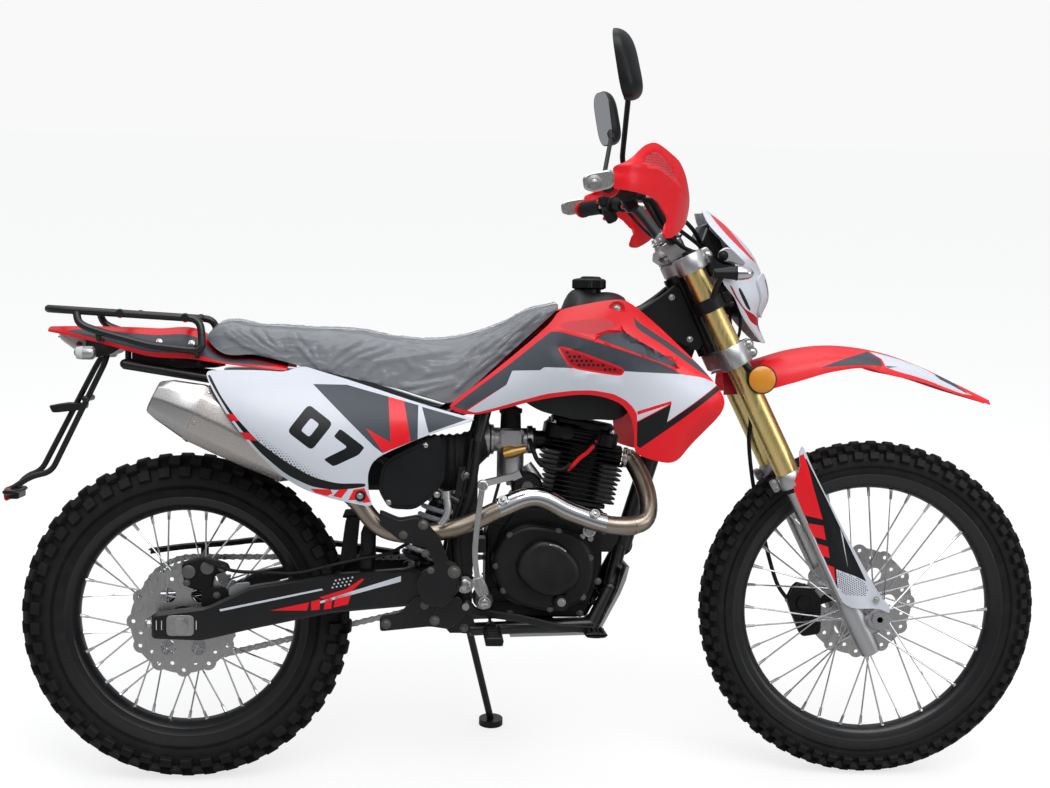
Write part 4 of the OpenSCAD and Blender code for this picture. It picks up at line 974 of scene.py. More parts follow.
graphics = [(FENDER_SHADE, 3), (on_arch(FENDER_ROWS, rounded(FENDER_GREY, 0.2)), 1),
            (on_arch(FENDER_ROWS, rounded(FENDER_WHITE, 0.2)), 2)]
graphics += [(on_arch(FENDER_ROWS, loop), 1) for loop in FENDER_MARKS]
shape, marks = decorated(arch_edge(FENDER_ROWS, 40), graphics, arch_skin(FENDER_ROWS, fender_ripple), 9, 3.2)
fender = Piece().both(shape, marks)
fender.make("fender_blade", "steered", [RED, GREY, WHITE, DEEP_RED_AND_SHADE], 40, "red_plastic", ("front_fender",))

# Rack, tail lamp, plate bracket and inner fender
RAIL_Y = 112


def rack_z(x):
    return mix(936, 920, (x + 256) / 301)


rack = Piece()
rail = [(-256, rack_z(-256)), (40, rack_z(40)), (46, 866), (34, 860), (-53, 869), (-156, 896), (-186, 908),
        (-191, 930)]
points = [(x, -RAIL_Y - (11 if z < 915 else 0), z) for x, z in rail]
rack.both(tube(bent([(-248, 0, rack_z(-248)), (-250, -96, rack_z(-250)), (-226, -RAIL_Y, rack_z(-226)),
                     *points[1:]], 22), 7.4, 16))
rack.both(tube(bent([(34, -124, 870), (34, -124, 850), (34, -111.6, 850)], 8), 5.4, 12))
rack.both(tube(bent([(-150, -118, 893), (-150, -118, 879), (-150, -80.6, 879)], 8), 5.4, 12))
for x in (-110, 12):
    rack.add(bar((x, -RAIL_Y, rack_z(x)), (x, RAIL_Y, rack_z(x)), 6.6, 16))
    for y in (-RAIL_Y, RAIL_Y):
        rack.add(tube([(x, y - 9, rack_z(x)), (x, y, rack_z(x)), (x, y + 9, rack_z(x))], [7, 9, 7], 16))
rack.make("rack_tubes", "chassis", [SATIN], 50, "black_paint", ("rack",))
TAIL_LENS = [(-243, 890), (-238, 895.4), (-190, 896.4), (-187, 854), (-203, 850), (-240, 877)]
lamp_piece = Piece().add(plate(TAIL_LENS, 0.2, -30, 30, 4))
for i in range(7):
    low = mix(882, 854, i / 6)
    lamp_piece.add(bar((mix(-243.5, -207, i / 6), -26, low), (mix(-243.5, -207, i / 6), 26, low), 1.6, 8))
lamp_piece.both(rod((-204, -28, 868), (-182, -104, 853), [(0, 6), (0.2, 4.6), (0.8, 4.6), (1, 6)], 14), 1)
BULLET = [(0, 4), (0.03, 9), (0.12, 12.4), (0.3, 13), (0.72, 12.6), (0.9, 9.5), (1, 4)]
lamp_piece.both(rod((-156, -112, 853), (-196, -112, 853), BULLET), 2)
lamp_piece.both(rod((-179, -112, 853), (-192, -112, 853), [(0, 13.2), (0.7, 12.4), (1, 11)], 24), 0)
lamp_piece.make("rear_lamp_set", "chassis", [LENS, BLACK, ALLOY], 40, "lamp_lens", ("rear_lamps",))
FOOT = (-338, 584)
TRAY = [(-186.2, 858), (-186.2, 880), (-150, 884), (-120, 877), (-120, 862), (-138, 850), (-172, 842)]
ROD_TAB = [(-265, 748), (-235, 753), (-196, 752), (-199, 740), (-258, 733)]
bracket = Piece().add(plate(TRAY, 0.2, -55, 55, 2))
# Columns: side, then the three bends of each rod
for y, hip, knee, toe in ((-20, (-152, 842), (-262, 617), (-300, 609)),
                          (20, (-180, 828), (-290, 616), (-318, 606))):
    run = [(-150, 896), (-150, 876), hip, knee, toe, FOOT]
    bracket.add(tube(bent([(x, y, z) for x, z in run], 18), 5.8, 14))
bracket.add(plate(ROD_TAB, 0.2, -24, 24, 1.5))
bracket.add(rod((-193, -38, 762), (-193, 38, 762), [(0, 3), (0.03, 6), (0.97, 6), (1, 3)], 14))
bracket.add(block((28, 92, 10), 2, (-337, 0, 579)))
bracket.add(block((10, 62, 26), 2, (-347, 0, 574)), 1).add(block((20, 58, 20), 2, (-333, 0, 574)))
for y in (-36, 36):
    bracket.add(rod((-343, y, 573), (-343, y, 585.5), [(0, 3), (0.02, 6.5), (0.98, 6.5), (1, 3)], 6), 2)
bracket.make("plate_rods", "chassis", [SATIN, DEEP_RED_AND_SHADE, STEEL], 40, "black_paint", ("plate_bracket",))
INNER = [(-98.4, 832), (-98.4, 866), (-50, 862), (25, 846), (64, 836), (70, 826), (-13, 824), (-50, 826)]
inner = Piece().add(plate(INNER, 0.25, -60, 60, 4))
for x in (-70, -20, 30):
    inner.add(rod((x, -60.4, mix(850, 834, (x + 70) / 100)), (x, -57, mix(850, 834, (x + 70) / 100)),
                  [(0, 5), (1, 6)], 16), 1)
inner.make("inner_fender_sheet", "chassis", [BLACK, SATIN], 40, "black_plastic", ("inner_fender",))


# Headlight mask, lens, instrument box and front lamps
# Columns: height, rear edge, half width, front
MASK_ROWS = [
    [889, 1136, 50, 1151], [905, 1120, 64, 1143], [920, 1107, 76, 1136], [940, 1092, 86, 1136],
    [974, 1075, 96, 1149], [1018, 1049, 104, 1142], [1032, 1060, 104, 1136], [1050, 1078, 100, 1127],
    [1085, 1052, 90, 1102], [1122, 1020, 76, 1062], [1146, 1010, 60, 1030]
]
MASK_STRIPE = [
    (1026, 1142), (1042, 1135), (1061, 1118), (1080, 1093), (1098, 1069), (1110, 1056), (1119, 1046, 0),
    (1106, 1052), (1085, 1071), (1059, 1097), (1038, 1122)
]
MASK_BROW = [
    (1050, 1131), (1070, 1118), (1090, 1098), (1108, 1076), (1113, 1069), (1106, 1084), (1086, 1106),
    (1064, 1126)
]
MASK_SLOT = [(1080, 995), (1084, 997), (1094, 981), (1108, 955), (1106, 952), (1097, 961), (1085, 983)]
MASK_LINE = [
    (1062, 1001), (1066, 1001), (1080, 976), (1096, 955), (1118, 944), (1127, 937), (1131, 924), (1125, 922),
    (1109, 931), (1097, 950), (1078, 973)
]
MASK_TIP = [(1135, 930), (1142, 919), (1150, 893), (1125, 921)]
LENS_EDGE = [(46, 944), (46, 1014), (62, 1026), (90, 1026), (90, 938), (62, 938)]
LENS_DARK = [(66, 950), (66, 1012), (74, 1019), (90, 1019), (90, 945), (74, 945)]
EAR = [
    (1037, 1056), (1040, 1067), (1051, 1074), (1062, 1074), (1076, 1061), (1092, 1046), (1088, 1040),
    (1074, 1043), (1058, 1047), (1050, 1043), (1040, 1046)
]
LAMP_BRACKET = [
    (1025, 1060), (1034, 1051), (1050, 1042), (1071, 1042), (1070, 1032), (1066, 1025), (1073, 1013),
    (1053, 1016), (1039, 1021), (1023, 1024), (1020, 1040)
]
BOX = [(1014, 1086), (1024, 1114), (1050, 1090), (1063, 1058), (1063, 1010), (1052, 1010), (1034, 1042)]
BOX_SCREEN = [(1001, 1092), (1011, 1118), (1025, 1124), (1030, 1117), (1016, 1088)]
MASK_LOW, MASK_HIGH = MASK_ROWS[0][0], MASK_ROWS[-1][0]
LAMP_Z = 978
mask_row = table_curve(MASK_ROWS)


def mask_at(sweep, z, off=0.0):
    """The mask's skin from its rear edge, 0, to the middle of its front, 90."""
    _, rear, half, front = mask_row(z)
    a = math.radians(90 - sweep)
    skin = Vector((rear + (front - rear) * math.cos(a), -half * math.sin(a), z))
    return skin + Vector((half * math.cos(a), -(front - rear) * math.sin(a), 0)).normalized() * off


def on_mask(loop):
    swept = []
    for x, z in loop:
        _, rear, half, front = mask_row(z)
        share = min(max((x - rear) / (front - rear), 0.01), 0.99)
        swept.append((90 - math.degrees(math.acos(share)), z))
    return swept


graphics = [(on_mask(rounded(loop, 0.3)), mark) for loop, mark in
            ((MASK_STRIPE, 1), (MASK_BROW, 2), (MASK_LINE, 3), (MASK_SLOT, 4), (MASK_TIP, 4))]
edge = [(0, z) for z in spaced(MASK_HIGH, MASK_LOW, 28)] + [(90, z) for z in spaced(MASK_LOW, MASK_HIGH, 28)]
shape, marks = decorated(edge, graphics, mask_at, 7, 3.4)
mask = Piece().both(shape, marks)
mask.both(plate(EAR, 0.3, -105, -98, 2), 5)
mask.both(bolt((1048, -105, 1058), RIGHTWARD, 7, 4), 4)
mask.make("mask_shell", "steered", [WHITE, PALE_RED_AND_HIGHLIGHT, RED, DEEP_RED_AND_SHADE, BLACK, ALLOY], 40, "white_plastic",
          ("headlight_mask",))

shape, marks = decorated(rounded(LENS_EDGE, 0.25), [(LENS_DARK, 1)], lambda s, z: mask_at(s, z, 5.5), 5, 4.6)
lamp_piece = Piece().both(shape, marks)
lamp_piece.add(rod((1048, 0, LAMP_Z), (1112, 0, LAMP_Z), [(0, 12), (0.02, 24), (0.2, 30), (0.6, 41),
                                                          (1, 42)], 32), 2)
lamp_piece.add(bar((1110, 0, LAMP_Z), (1139, 0, LAMP_Z), 10, 16), 2)
lamp_piece.add(plate(BOX, 0.15, -46, 46, 3), 2)
lamp_piece.add(plate([(1013, 1088), (1022, 1115), (1026, 1112), (1018, 1087)], 0.2, -44, 44, 1), 3)
lamp_piece.add(plate(BOX_SCREEN, 0.2, -40, 40, 2), 4)
for k in range(4):
    lamp_piece.both(slab([(1036 + 6 * k, 1062), (1039 + 6 * k, 1062), (1039 + 6 * k, 1092 - 6 * k),
                          (1036 + 6 * k, 1092 - 6 * k)], -47.2, -45, 0.5), 2)
lamp_piece.make("headlamp_and_dials", "steered", [WHITE, SMOKE, BLACK, ALLOY, SMOKE], 40, "lamp_lens",
                ("headlamp",))

BLINK_Y, BLINK_Z = -164, 1024
lamps = Piece()
lamps.both(plate(LAMP_BRACKET, 0.2, -116, -108, 2), 0)
lamps.both(tube(bent([(1040, -98, 966), (1071, -93, 966)], 5), 6.5, 14), 0)
lamps.both(tube(bent([(1026, -120, 970), (1034, -134, 1006), (1046, -152, 1026)], 14), 5.6, 14), 0)
lamps.both(rod((1022, BLINK_Y, BLINK_Z), (1064, BLINK_Y, BLINK_Z), [(0, 5), (0.05, 8), (0.4, 10), (1, 13)]))
lamps.both(rod((1064, BLINK_Y, BLINK_Z), (1098, BLINK_Y, BLINK_Z),
               [(0, 13), (0.3, 13.5), (0.7, 11.5), (0.9, 8), (1, 3)]), 1)
lamps.both(rod((1064, BLINK_Y, BLINK_Z), (1067, BLINK_Y, BLINK_Z),
               [(0, 13.2), (0, 14.2), (1, 14.2), (1, 13.2)]), 0)
lamps.make("front_indicators", "steered", [BLACK, CHROME], 40, "lamp_body", ("front_lamps",))
CLAMP_LOW = 694
ring = [(24.5, 0), (30, 0), (30, 26), (24.5, 26)]
clamps = Piece()
for y in (-FORK_Y, FORK_Y):
    clamps.add(turned(ring, 40), 0, shift(YOKE_OFFSET, y, CLAMP_LOW) @ upright)
    clamps.add(block((16, 22, 20), 2, (YOKE_OFFSET + 36, y, CLAMP_LOW + 13)), 0)
clamps.make("lamp_clamps", "fork", [BLACK], 40, "lamp_body")

# Hand guards
# Columns: x, low edge, high edge, outer y at low, middle and high
HAND_ROWS = [
    [806, 1162, 1201, 426, 430, 426], [833, 1160, 1209, 424, 428, 424], [868, 1154, 1244, 398, 404, 394],
    [886, 1150, 1248, 378, 386, 372], [910, 1125, 1236, 342, 352, 336], [918, 1080, 1232, 324, 340, 322],
    [938, 1092, 1222, 294, 308, 290], [955, 1109, 1195, 254, 264, 252], [966, 1138, 1168, 214, 218, 214]
]
HAND_EDGE = [
    (806, 1163, 0.2), (806, 1200, 0.2), (833, 1211), (866, 1243), (886, 1248), (912, 1237), (938, 1222),
    (955, 1196), (966, 1167), (965, 1139), (955, 1110), (938, 1093), (918, 1081), (904, 1086), (912, 1110),
    (906, 1129), (886, 1149), (866, 1155), (833, 1160)
]
HAND_MESH = [
    (857, 1208), (863, 1219), (880, 1231), (894, 1229), (917, 1208), (938, 1175), (922, 1186), (890, 1201)
]
HAND_RIDGE = [(806, 1204), (857, 1204), (894, 1197), (924, 1180), (955, 1154)]
hand_row = table_curve(HAND_ROWS)


def hand_at(x, z):
    _, low, high, *ys = hand_row(x)
    t = min(max((z - low) / (high - low), -0.1), 1.1)
    y = bowed(t, *ys) + 4.5 * bump_at(near_run(HAND_RIDGE, x, z)[0], 11)
    return Vector((x, -y + (2.5 if inside(HAND_MESH, x, z) else 0), z))


graphics = [(rounded(HAND_MESH, 0.3), 1)]
graphics += [(dot, 2) for dot in dots(HAND_MESH, 5.2, 1.5, 6, margin=0.8)]
shape, marks = decorated(rounded(HAND_EDGE, 0.4), graphics, hand_at, 6.5, 4)
guards = Piece().both(shape, marks)
CLAMP_END = [(757, 1161), (754, 1180), (764, 1188), (808, 1196), (808, 1164), (774, 1156)]
guards.both(plate(CLAMP_END, 0.3, -437, -417, 3), 3)
guards.both(moved(turned([(0.01, -2), (8, -2), (8.5, 1), (13, 1), (13, -1), (0.01, -3)], 24),
                  shift(774, -437.5, 1172)), 3)
guards.both(bolt((774, -437, 1172), RIGHTWARD, 5.5, 3), 4)
guards.make("hand_guard_shells", "steered", [RED, PALE_RED_AND_HIGHLIGHT, DEEP_RED_AND_SHADE, BRIGHT, STEEL], 40, "red_plastic",
            ("hand_guards",))


# Fork: tubes, yokes, legs, guards, caliper and axle, on the steering axis's own frame
TUBE_R, LEG_R = 24, 20.5
TUBE_LOW, LOW_YOKE, TOP_YOKE = 312, 578, 782
TOP_FACE = TOP_YOKE + 28
STEER_R = 14


def deck(outline, low, high, edge=2.0):
    """A plate drawn in plan."""
    points, faces = slab(outline, low, high, edge)
    return [Vector((p.x, p.z, p.y)) for p in points], faces


def post(x, y, profile, sides=32):
    """A round bar along the fork. Profile columns: height, radius."""
    return tube([(x, y, h) for h, r in profile], [r for h, r in profile], sides)


tubes = Piece()
for y in (-FORK_Y, FORK_Y):
    at = (YOKE_OFFSET, y)
    tubes.add(post(*at, [(TUBE_LOW + 30, TUBE_R - 2), (TUBE_LOW + 30, TUBE_R - 0.4),
                         (LOW_YOKE - 30, TUBE_R - 0.4), (LOW_YOKE - 10, TUBE_R), (LOW_YOKE + 60, TUBE_R),
                         (LOW_YOKE + 80, TUBE_R - 1), (TOP_YOKE - 20, TUBE_R - 1),
                         (TOP_FACE + 1, TUBE_R - 0.6), (TOP_FACE + 2, TUBE_R - 3)]))
    tubes.add(post(*at, [(TUBE_LOW, LEG_R + 0.6), (TUBE_LOW, TUBE_R + 1), (TUBE_LOW + 4, TUBE_R + 3),
                         (TUBE_LOW + 26, TUBE_R + 3), (TUBE_LOW + 30, TUBE_R),
                         (TUBE_LOW + 30, LEG_R + 0.6)]), 1)
    tubes.add(block((14, 20, 24), 2, (YOKE_OFFSET - 34, y, TUBE_LOW + 16)), 1)
    tubes.add(bolt((YOKE_OFFSET - 34, y - 10, TUBE_LOW + 10), RIGHTWARD, 4, 4), 2)
    tubes.add(bolt((YOKE_OFFSET - 34, y - 10, TUBE_LOW + 22), RIGHTWARD, 4, 4), 2)
    tubes.add(post(*at, [(TOP_FACE + 1, 21), (TOP_FACE + 5, 20), (TOP_FACE + 6, 8), (TOP_FACE + 9, 8),
                               (TOP_FACE + 10, 5)], 24), 3)
    tubes.add(post(*at, [(TUBE_LOW - 9, LEG_R + 0.4), (TUBE_LOW - 9, TUBE_R - 1),
                         (TUBE_LOW, TUBE_R - 1)], 24), 4)
tubes.make("fork_outer_tubes", "fork", [GOLD, ALLOY, STEEL, BLACK, GRIP], 40, "gold_anodised",
           ("fork_tubes",))


def yoke_outline():
    right = [(-22, -20), (-6, -60), (-8, -FORK_Y - 6), (6, -FORK_Y - 29), (34, -FORK_Y - 30),
             (53, -FORK_Y - 16), (54, -FORK_Y + 18), (46, -52), (50, -20)]
    return rounded(right + [(x, -y) for x, y in right[::-1]], 0.32, 3)


yokes = Piece()
for low, high in ((LOW_YOKE, LOW_YOKE + 36), (TOP_YOKE, TOP_FACE)):
    yokes.add(deck(yoke_outline(), low, high, 3))
    for y in (-FORK_Y, FORK_Y):
        yokes.add(turned([(TUBE_R + 0.3, low - 3), (TUBE_R + 7, low - 3), (TUBE_R + 8, low),
                          (TUBE_R + 8, high), (TUBE_R + 6, high + 3), (TUBE_R + 0.3, high + 3)], 48), 0,
                  shift(YOKE_OFFSET, y, 0) @ upright)
        out = math.copysign(1, y)
        yokes.add(block((20, 24, high - low + 4), 3, (YOKE_OFFSET + 34, y - out * 6, (low + high) / 2)))
        for h in ([0.5] if high - low < 30 else [0.25, 0.75]):
            at = (YOKE_OFFSET + 36, y + out * 6, mix(low, high, h))
            yokes.add(bolt(at, (0, out, 0), 7, 6), 1)
yokes.add(post(0, 0, [(LOW_YOKE - 6, 20), (LOW_YOKE, STEER_R), (TOP_FACE + 1, STEER_R), (TOP_FACE + 1, 23),
                            (TOP_FACE + 8, 22), (TOP_FACE + 8, 16), (TOP_FACE + 14, 15)], 32), 1)
BAR_Z = TOP_FACE + 42
BAR_AHEAD = 14
yokes.add(block((60, 128, 34), 8, (BAR_AHEAD - 8, 0, TOP_FACE + 17)))
for y in (-48, 48):
    yokes.add(block((46, 34, 44), 5, (BAR_AHEAD - 2, y, TOP_FACE + 22)))
    yokes.add(rod((BAR_AHEAD, y - 15, BAR_Z), (BAR_AHEAD, y + 15, BAR_Z),
                  [(0, 18), (0.1, 20), (0.9, 20), (1, 18)], 28))
    yokes.add(block((52, 30, 12), 3, (BAR_AHEAD, y, BAR_Z)))
    for x in (-20, 20):
        for step in (-8, 8):
            yokes.add(bolt((BAR_AHEAD + x, y + step, BAR_Z + 6), (0, 0, 1), 4, 7), 1)
yokes.make("yoke_clamps", "fork", [ALLOY, STEEL], 40, "silver_alloy", ("yokes",))

legs = Piece()
for y in (-FORK_Y, FORK_Y):
    legs.add(post(YOKE_OFFSET, y, [(52, LEG_R), (TUBE_LOW + 20, LEG_R)]))
    legs.add(post(YOKE_OFFSET, y, [(-62, LEG_R - 3), (-60, LEG_R), (-30, LEG_R + 2), (40, LEG_R + 2.5),
                                         (56, LEG_R + 1.5), (60, LEG_R - 1)]), 1)
    legs.add(moved(turned([(10.6, -22), (22, -22), (24, -19), (24, 19), (22, 22), (10.6, 22)], 40),
                   shift(STEER_OUT, y, 0)), 1)
    legs.add(block((46, 34, 44), 6, (mix(YOKE_OFFSET, STEER_OUT, 0.5) - 4, y, -6)), 1)
    for h in (-14, 8):
        legs.add(bolt((STEER_OUT + 21, y - 12, h), (1, 0, 0.2), 4.5, 4), 2)
    legs.add(post(YOKE_OFFSET, y, [(-66, 6), (-60, 9)], 16), 2)
legs.make("fork_sliders", "fork", [STEEL, ALLOY, STEEL], 40, "steel", ("fork_legs",))

# Guards on the sliders: outline and graphics, x ahead and height up the fork
GUARD = [
    (71, 383), (69, 334), (74, 178), (83, 52), (93, 14), (87, 2), (73, 20), (25, 44), (11, 64), (13, 187),
    (19, 319, 0.2), (48, 344), (58, 372)
]
GUARD_DARK = [(66, 356), (17, 318), (15, 92), (28, 130), (56, 101), (72, 81), (70, 190), (69, 264)]
GUARD_REDS = [
    [(65, 366), (56, 366), (46, 348), (18, 322), (16, 255), (45, 232), (55, 298), (63, 340)],
    [(15, 238), (41, 220), (34, 192), (15, 208)], [(15, 193), (32, 178), (26, 156), (15, 165)],
    [(15, 147), (26, 135), (16, 105)]
]
GUARD_SLIVER = [(69, 200), (68, 185), (50, 122)]
GUARD_CHECK = [(28, 130), (56, 101), (70, 81), (70, 62), (56, 53), (17, 78), (16, 95)]
GUARD_Y = 126.4


def guard_at(x, z):
    ridge = 4.0 * bump_at(x - mix(34, 52, z / 383), 26) + 1.5 * bump_at(x - mix(92, 68, z / 383), 9)
    return Vector((x, -GUARD_Y - ridge + 2, z))


graphics = [(GUARD_DARK, 1)] + [(loop, 2) for loop in GUARD_REDS]
graphics += [(GUARD_SLIVER, 0), (rounded(GUARD_CHECK, 0.25), 0)]
graphics += [(dot, 1) for dot in dots(GUARD_CHECK, 4.4, 1.55, 4, margin=0.4)]
shape, marks = decorated(rounded(GUARD, 0.3), graphics, guard_at, 9, 3.2)
fork_guards = Piece().both(shape, marks)
fork_guards.both(bolt((74, -GUARD_Y - 2, 40), RIGHTWARD, 4.5, 3), 3)
fork_guards.both(block((4, 32, 262), 1.5, (68, -108, 201)), 0)
for h in (90, 200):
    fork_guards.both(bar((YOKE_OFFSET, -FORK_Y - LEG_R - 0.6, h), (YOKE_OFFSET, -GUARD_Y + 2, h), 8, 16), 0)
fork_guards.make("slider_guards", "fork", [WHITE, BLACK, RED, STEEL], 40, "white_plastic", ("fork_guards",))

# Round side reflectors on short brackets
REFLECTOR = (52, -FORK_Y - 34, 534)
reflectors = Piece()
x, y, h = REFLECTOR
reflectors.both(moved(turned([(0.01, 0), (27, 0), (28.5, 2), (28.5, 7), (26, 8), (0.01, 8)], 48),
                      shift(x, y - 4, h)), 0)
reflectors.both(moved(turned([(0.01, -3), (22, -3), (26, 0), (26, 2), (0.01, 2)], 48), shift(x, y - 4, h)), 1)
reflectors.both(rod((x - 4, y + 3, h), (YOKE_OFFSET + 8, -FORK_Y - 20, LOW_YOKE + 4), [(0, 6), (1, 7)], 12))
reflectors.make("side_reflectors", "fork", [BLACK, AMBER], 40, "lamp_body")

CALIPER = [(-34, 92), (-12, 71), (-4, 43), (-36, -26), (-76, -14), (-73, 43), (-70, 70), (-48, 88)]
CALIPER_ARM = [(-20, 26), (-20, 64), (31, 58), (31, 20)]
caliper = Piece()
caliper.add(plate(CALIPER, 0.2, 50.2, 58.6, 2)).add(plate(CALIPER, 0.2, 69.4, 77, 2))
caliper.add(plate([(-76, -10), (-60, -14), (-60, 72), (-70, 68), (-73, 43)], 0.2, 55, 74, 2))
caliper.add(plate(CALIPER_ARM, 0.2, 70.4, 77, 1.5))
for x, h in ((-46, 12), (-42, 50)):
    caliper.add(turned([(0.01, 76), (15, 76), (16, 79), (14, 83), (0.01, 84)], 28), 0, shift(x, 0, h))
    caliper.add(turned([(0.01, 46), (14, 46), (16, 50), (0.01, 51)], 28), 0, shift(x, 0, h))
for x, h in ((-24, 74), (-62, -6), (24, 48), (24, 28)):
    caliper.add(bolt((x, 77 if x < 0 else 70, h), (0, 1 if x < 0 else -1, 0), 5, 4), 1)
for k in range(5):
    caliper.add(slab([(-74, 2 + 11 * k), (-58, -2 + 11 * k), (-58, 2 + 11 * k), (-74, 6 + 11 * k)], 48.6,
                     51, 0.6), 0)
caliper.make("front_brake_caliper", "fork", [CAST, STEEL], 40, "dark_alloy", ("front_caliper",))
coat_node("front_axle", STEEL)


# Bars, controls and mirrors
# The left half of the handlebar on the fork's frame
BENDS = [
    (14, 0, 852), (14, 66, 852), (14, 78, 855), (13, 90, 862), (12, 102, 873), (6, 150, 922), (-2, 175, 944),
    (-13, 198, 957), (-27, 225, 966), (-42, 262, 972), (-84, 400, 990)
]
RIGHT = [Vector((x, -y, z)) for x, y, z in BENDS]
CLAMP_IN, SWITCH_IN, GRIP_IN, GRIP_OUT = RIGHT[-4:]
bars = Piece().add(tube(spline(RIGHT[::-1] + [Vector(p) for p in BENDS[1:]], 4), 11, 20))
bars.make("bar_tube", "fork", [BLACK], 50, "black_paint", ("handlebar",))


def along(a, b, *shares):
    return [a.lerp(b, t) for t in shares]


controls = Piece()
ribs = [(0, 12), (0, 21), (0.02, 21), (0.04, 16.4)]
ribs += [(t, 16.6 - 0.9 * (i % 2)) for i, t in enumerate(spaced(0.05, 0.93, 46))]
ribs += [(0.95, 16.4)]
controls.both(rod(*along(GRIP_IN, GRIP_OUT, 0.05, 0.93), ribs, 24), 0)
controls.both(rod(*along(GRIP_IN, GRIP_OUT, 0.93, 0.99), [(0, 12), (0, 18.5), (0.9, 18.5), (1, 15)], 24), 1)
controls.both(rod(*along(GRIP_IN, GRIP_OUT, 0.99, 1.13), [(0, 11), (0.8, 11), (1, 8)], 20), 2)
controls.both(rod(*along(SWITCH_IN, GRIP_IN, 0.08, 0.92), [(0, 12), (0.04, 18), (0.48, 18.6), (0.52, 18.6),
                                                           (0.96, 18), (1, 12)], 28), 2)
middle = SWITCH_IN.lerp(GRIP_IN, 0.5)
controls.both(block((42, 32, 26), 4, middle + Vector((-2, 0, 14))), 2)
controls.both(block((26, 30, 36), 4, middle + Vector((-12, 2, -18))), 2)
for dx, dz, mark in ((-24, 18, 1), (-24, 6, 3), (-26, -20, 1)):
    controls.both(block((7, 12, 8), 1.5, middle + Vector((dx, 2, dz))), mark)
LEVER = [
    (16, -246, 968), (27, -262, 968), (20, -300, 972), (4, -340, 977), (-20, -378, 983), (-34, -398, 986)
]
controls.both(tube(spline(LEVER, 4), [7.5] * 4 + [6.5] * 4 + [5.2] * 8 + [5.6] * 3 + [7.5, 5], 14), 2)
controls.both(rod((22, -258, 957), (22, -258, 979), [(0, 5), (0, 6), (1, 6), (1, 5)], 6), 3)
controls.both(rod(*along(CLAMP_IN, SWITCH_IN, 0.1, 0.8),
                  [(0, 12), (0.05, 16.5), (0.95, 16.5), (1, 12)], 24), 2)
root = Vector((59.4, -222, 920))
controls.both(rod(CLAMP_IN.lerp(SWITCH_IN, 0.45) + Vector((8, 0, -8)), root,
                  [(0, 8), (0.8, 6.5), (1, 7)], 16), 4)
controls.both(bolt(root + Vector((-2, -4, 4)), (0.6, -0.6, 0.2), 5, 4), 3)
reservoir = CLAMP_IN + Vector((8, -6, 28))
controls.add(block((40, 44, 26), 6, reservoir), 2)
controls.add(block((42, 46, 6), 2, reservoir + Vector((0, 0, 15))), 2)
for dx, dy in ((-15, -17), (15, 17)):
    controls.add(bolt(reservoir + Vector((dx, dy, 18)), (0, 0, 1), 3, 2), 3)
controls.make("grips_and_levers", "fork", [GRIP, RED, BLACK, STEEL, ALLOY], 40, "grip_rubber",
              ("hand_controls",))

# Mirrors: a shell and its glass, swept up the height, on a bent stem
MIRROR_LOW, MIRROR_HIGH, MIRROR_HALF, MIRROR_TURN = 1313, 1431, 53, math.radians(15)
MIRROR_X = 833
mirror = Piece()
for side, ahead_by in ((-1, -16), (1, 14)):
    shell, glass = [], []
    arc = [math.radians(a) for a in spaced(-90, 90, 20)]
    for u in (-math.cos(a) for a in spaced(0.16, math.pi - 0.16, 24)):
        z = mix(MIRROR_LOW, MIRROR_HIGH, (u + 1) / 2)
        swell = (1 - u ** 4) ** 0.5
        rear = MIRROR_X - 10 * u
        deep = 7 + (23 - 4 * u) * swell
        half = MIRROR_HALF * (0.25 + 0.75 * swell) * (1 + 0.06 * u)
        shell.append([(rear + deep * max(0, math.cos(a)) ** 0.7, half * math.sin(a), z) for a in arc])
        glass.append([(rear + dx, y * half, z) for y, dx in ((-0.92, -0.6), (0.92, -0.6), (0.92, 0.8),
                                                             (-0.92, 0.8))])
    swung = shift(MIRROR_X + ahead_by, side * 430, 0) @ turn(side * MIRROR_TURN, "Z")
    aim_at = swung @ shift(-MIRROR_X, 0, 0)
    mirror.add(loft(shell), 0, aim_at).add(loft(glass[1:-1]), 1, aim_at)
    low, elbow = Vector((848.4, side * 243, 1197.9)), Vector((836, side * 243, 1223))
    top = Vector((850 + ahead_by, side * 396, 1336))
    mirror.add(tube(bent([low, elbow, top], 24), 5, 14), 0)
    mirror.add(bar(low + Vector((2, 0, -4)), low + Vector((-3, 0, 8)), 8, 6), 2)
    mirror.add(tube([top + Vector((-2, -side * 18, -14)), top, top + Vector((2, side * 8, 6))],
                    [6, 11, 9], 16), 0)
mirror.make("mirror_pair", "steered", [BLACK, MIRROR, STEEL], 42, "black_plastic", ("mirrors",))

# Brake hose, cables to the dials and the loom behind the mask; all turn with the bars
HOSE = [
    (870, -190, 1186), (930, -150, 1150), (1000, -60, 1100), (1030, 30, 1030), (1050, 64, 950),
    (1100, 68, 840), (1137, 70, 742), (1137, 70, 685), (1143, 70, 627), (1155, 72, 563), (1180, 74, 463),
    (1204, 72, 386), (1226, 66, 352)
]
CABLES = [
    [(872, -205, 1172), (920, -140, 1112), (968, -90, 1076), (1004, -84, 1058), (1030, -60, 1020)],
    [(880, -198, 1176), (940, -120, 1122), (988, -66, 1092), (1010, -50, 1076), (1040, -30, 1040)],
    [(1060, -44, 1010), (1084, -66, 955), (1090, -70, 928), (1086, -60, 896), (1060, -30, 880)],
    [(1050, -30, 1005), (1070, -52, 950), (1072, -50, 905), (1052, -20, 885)],
    [(872, 205, 1172), (920, 140, 1112), (968, 90, 1076), (1004, 84, 1058), (1030, 60, 1020)]
]
hoses = Piece().add(tube(spline(HOSE, 6), 4.2, 12)).add(bar(HOSE[-1], (1236, 64, 340), 6.5, 12), 1)
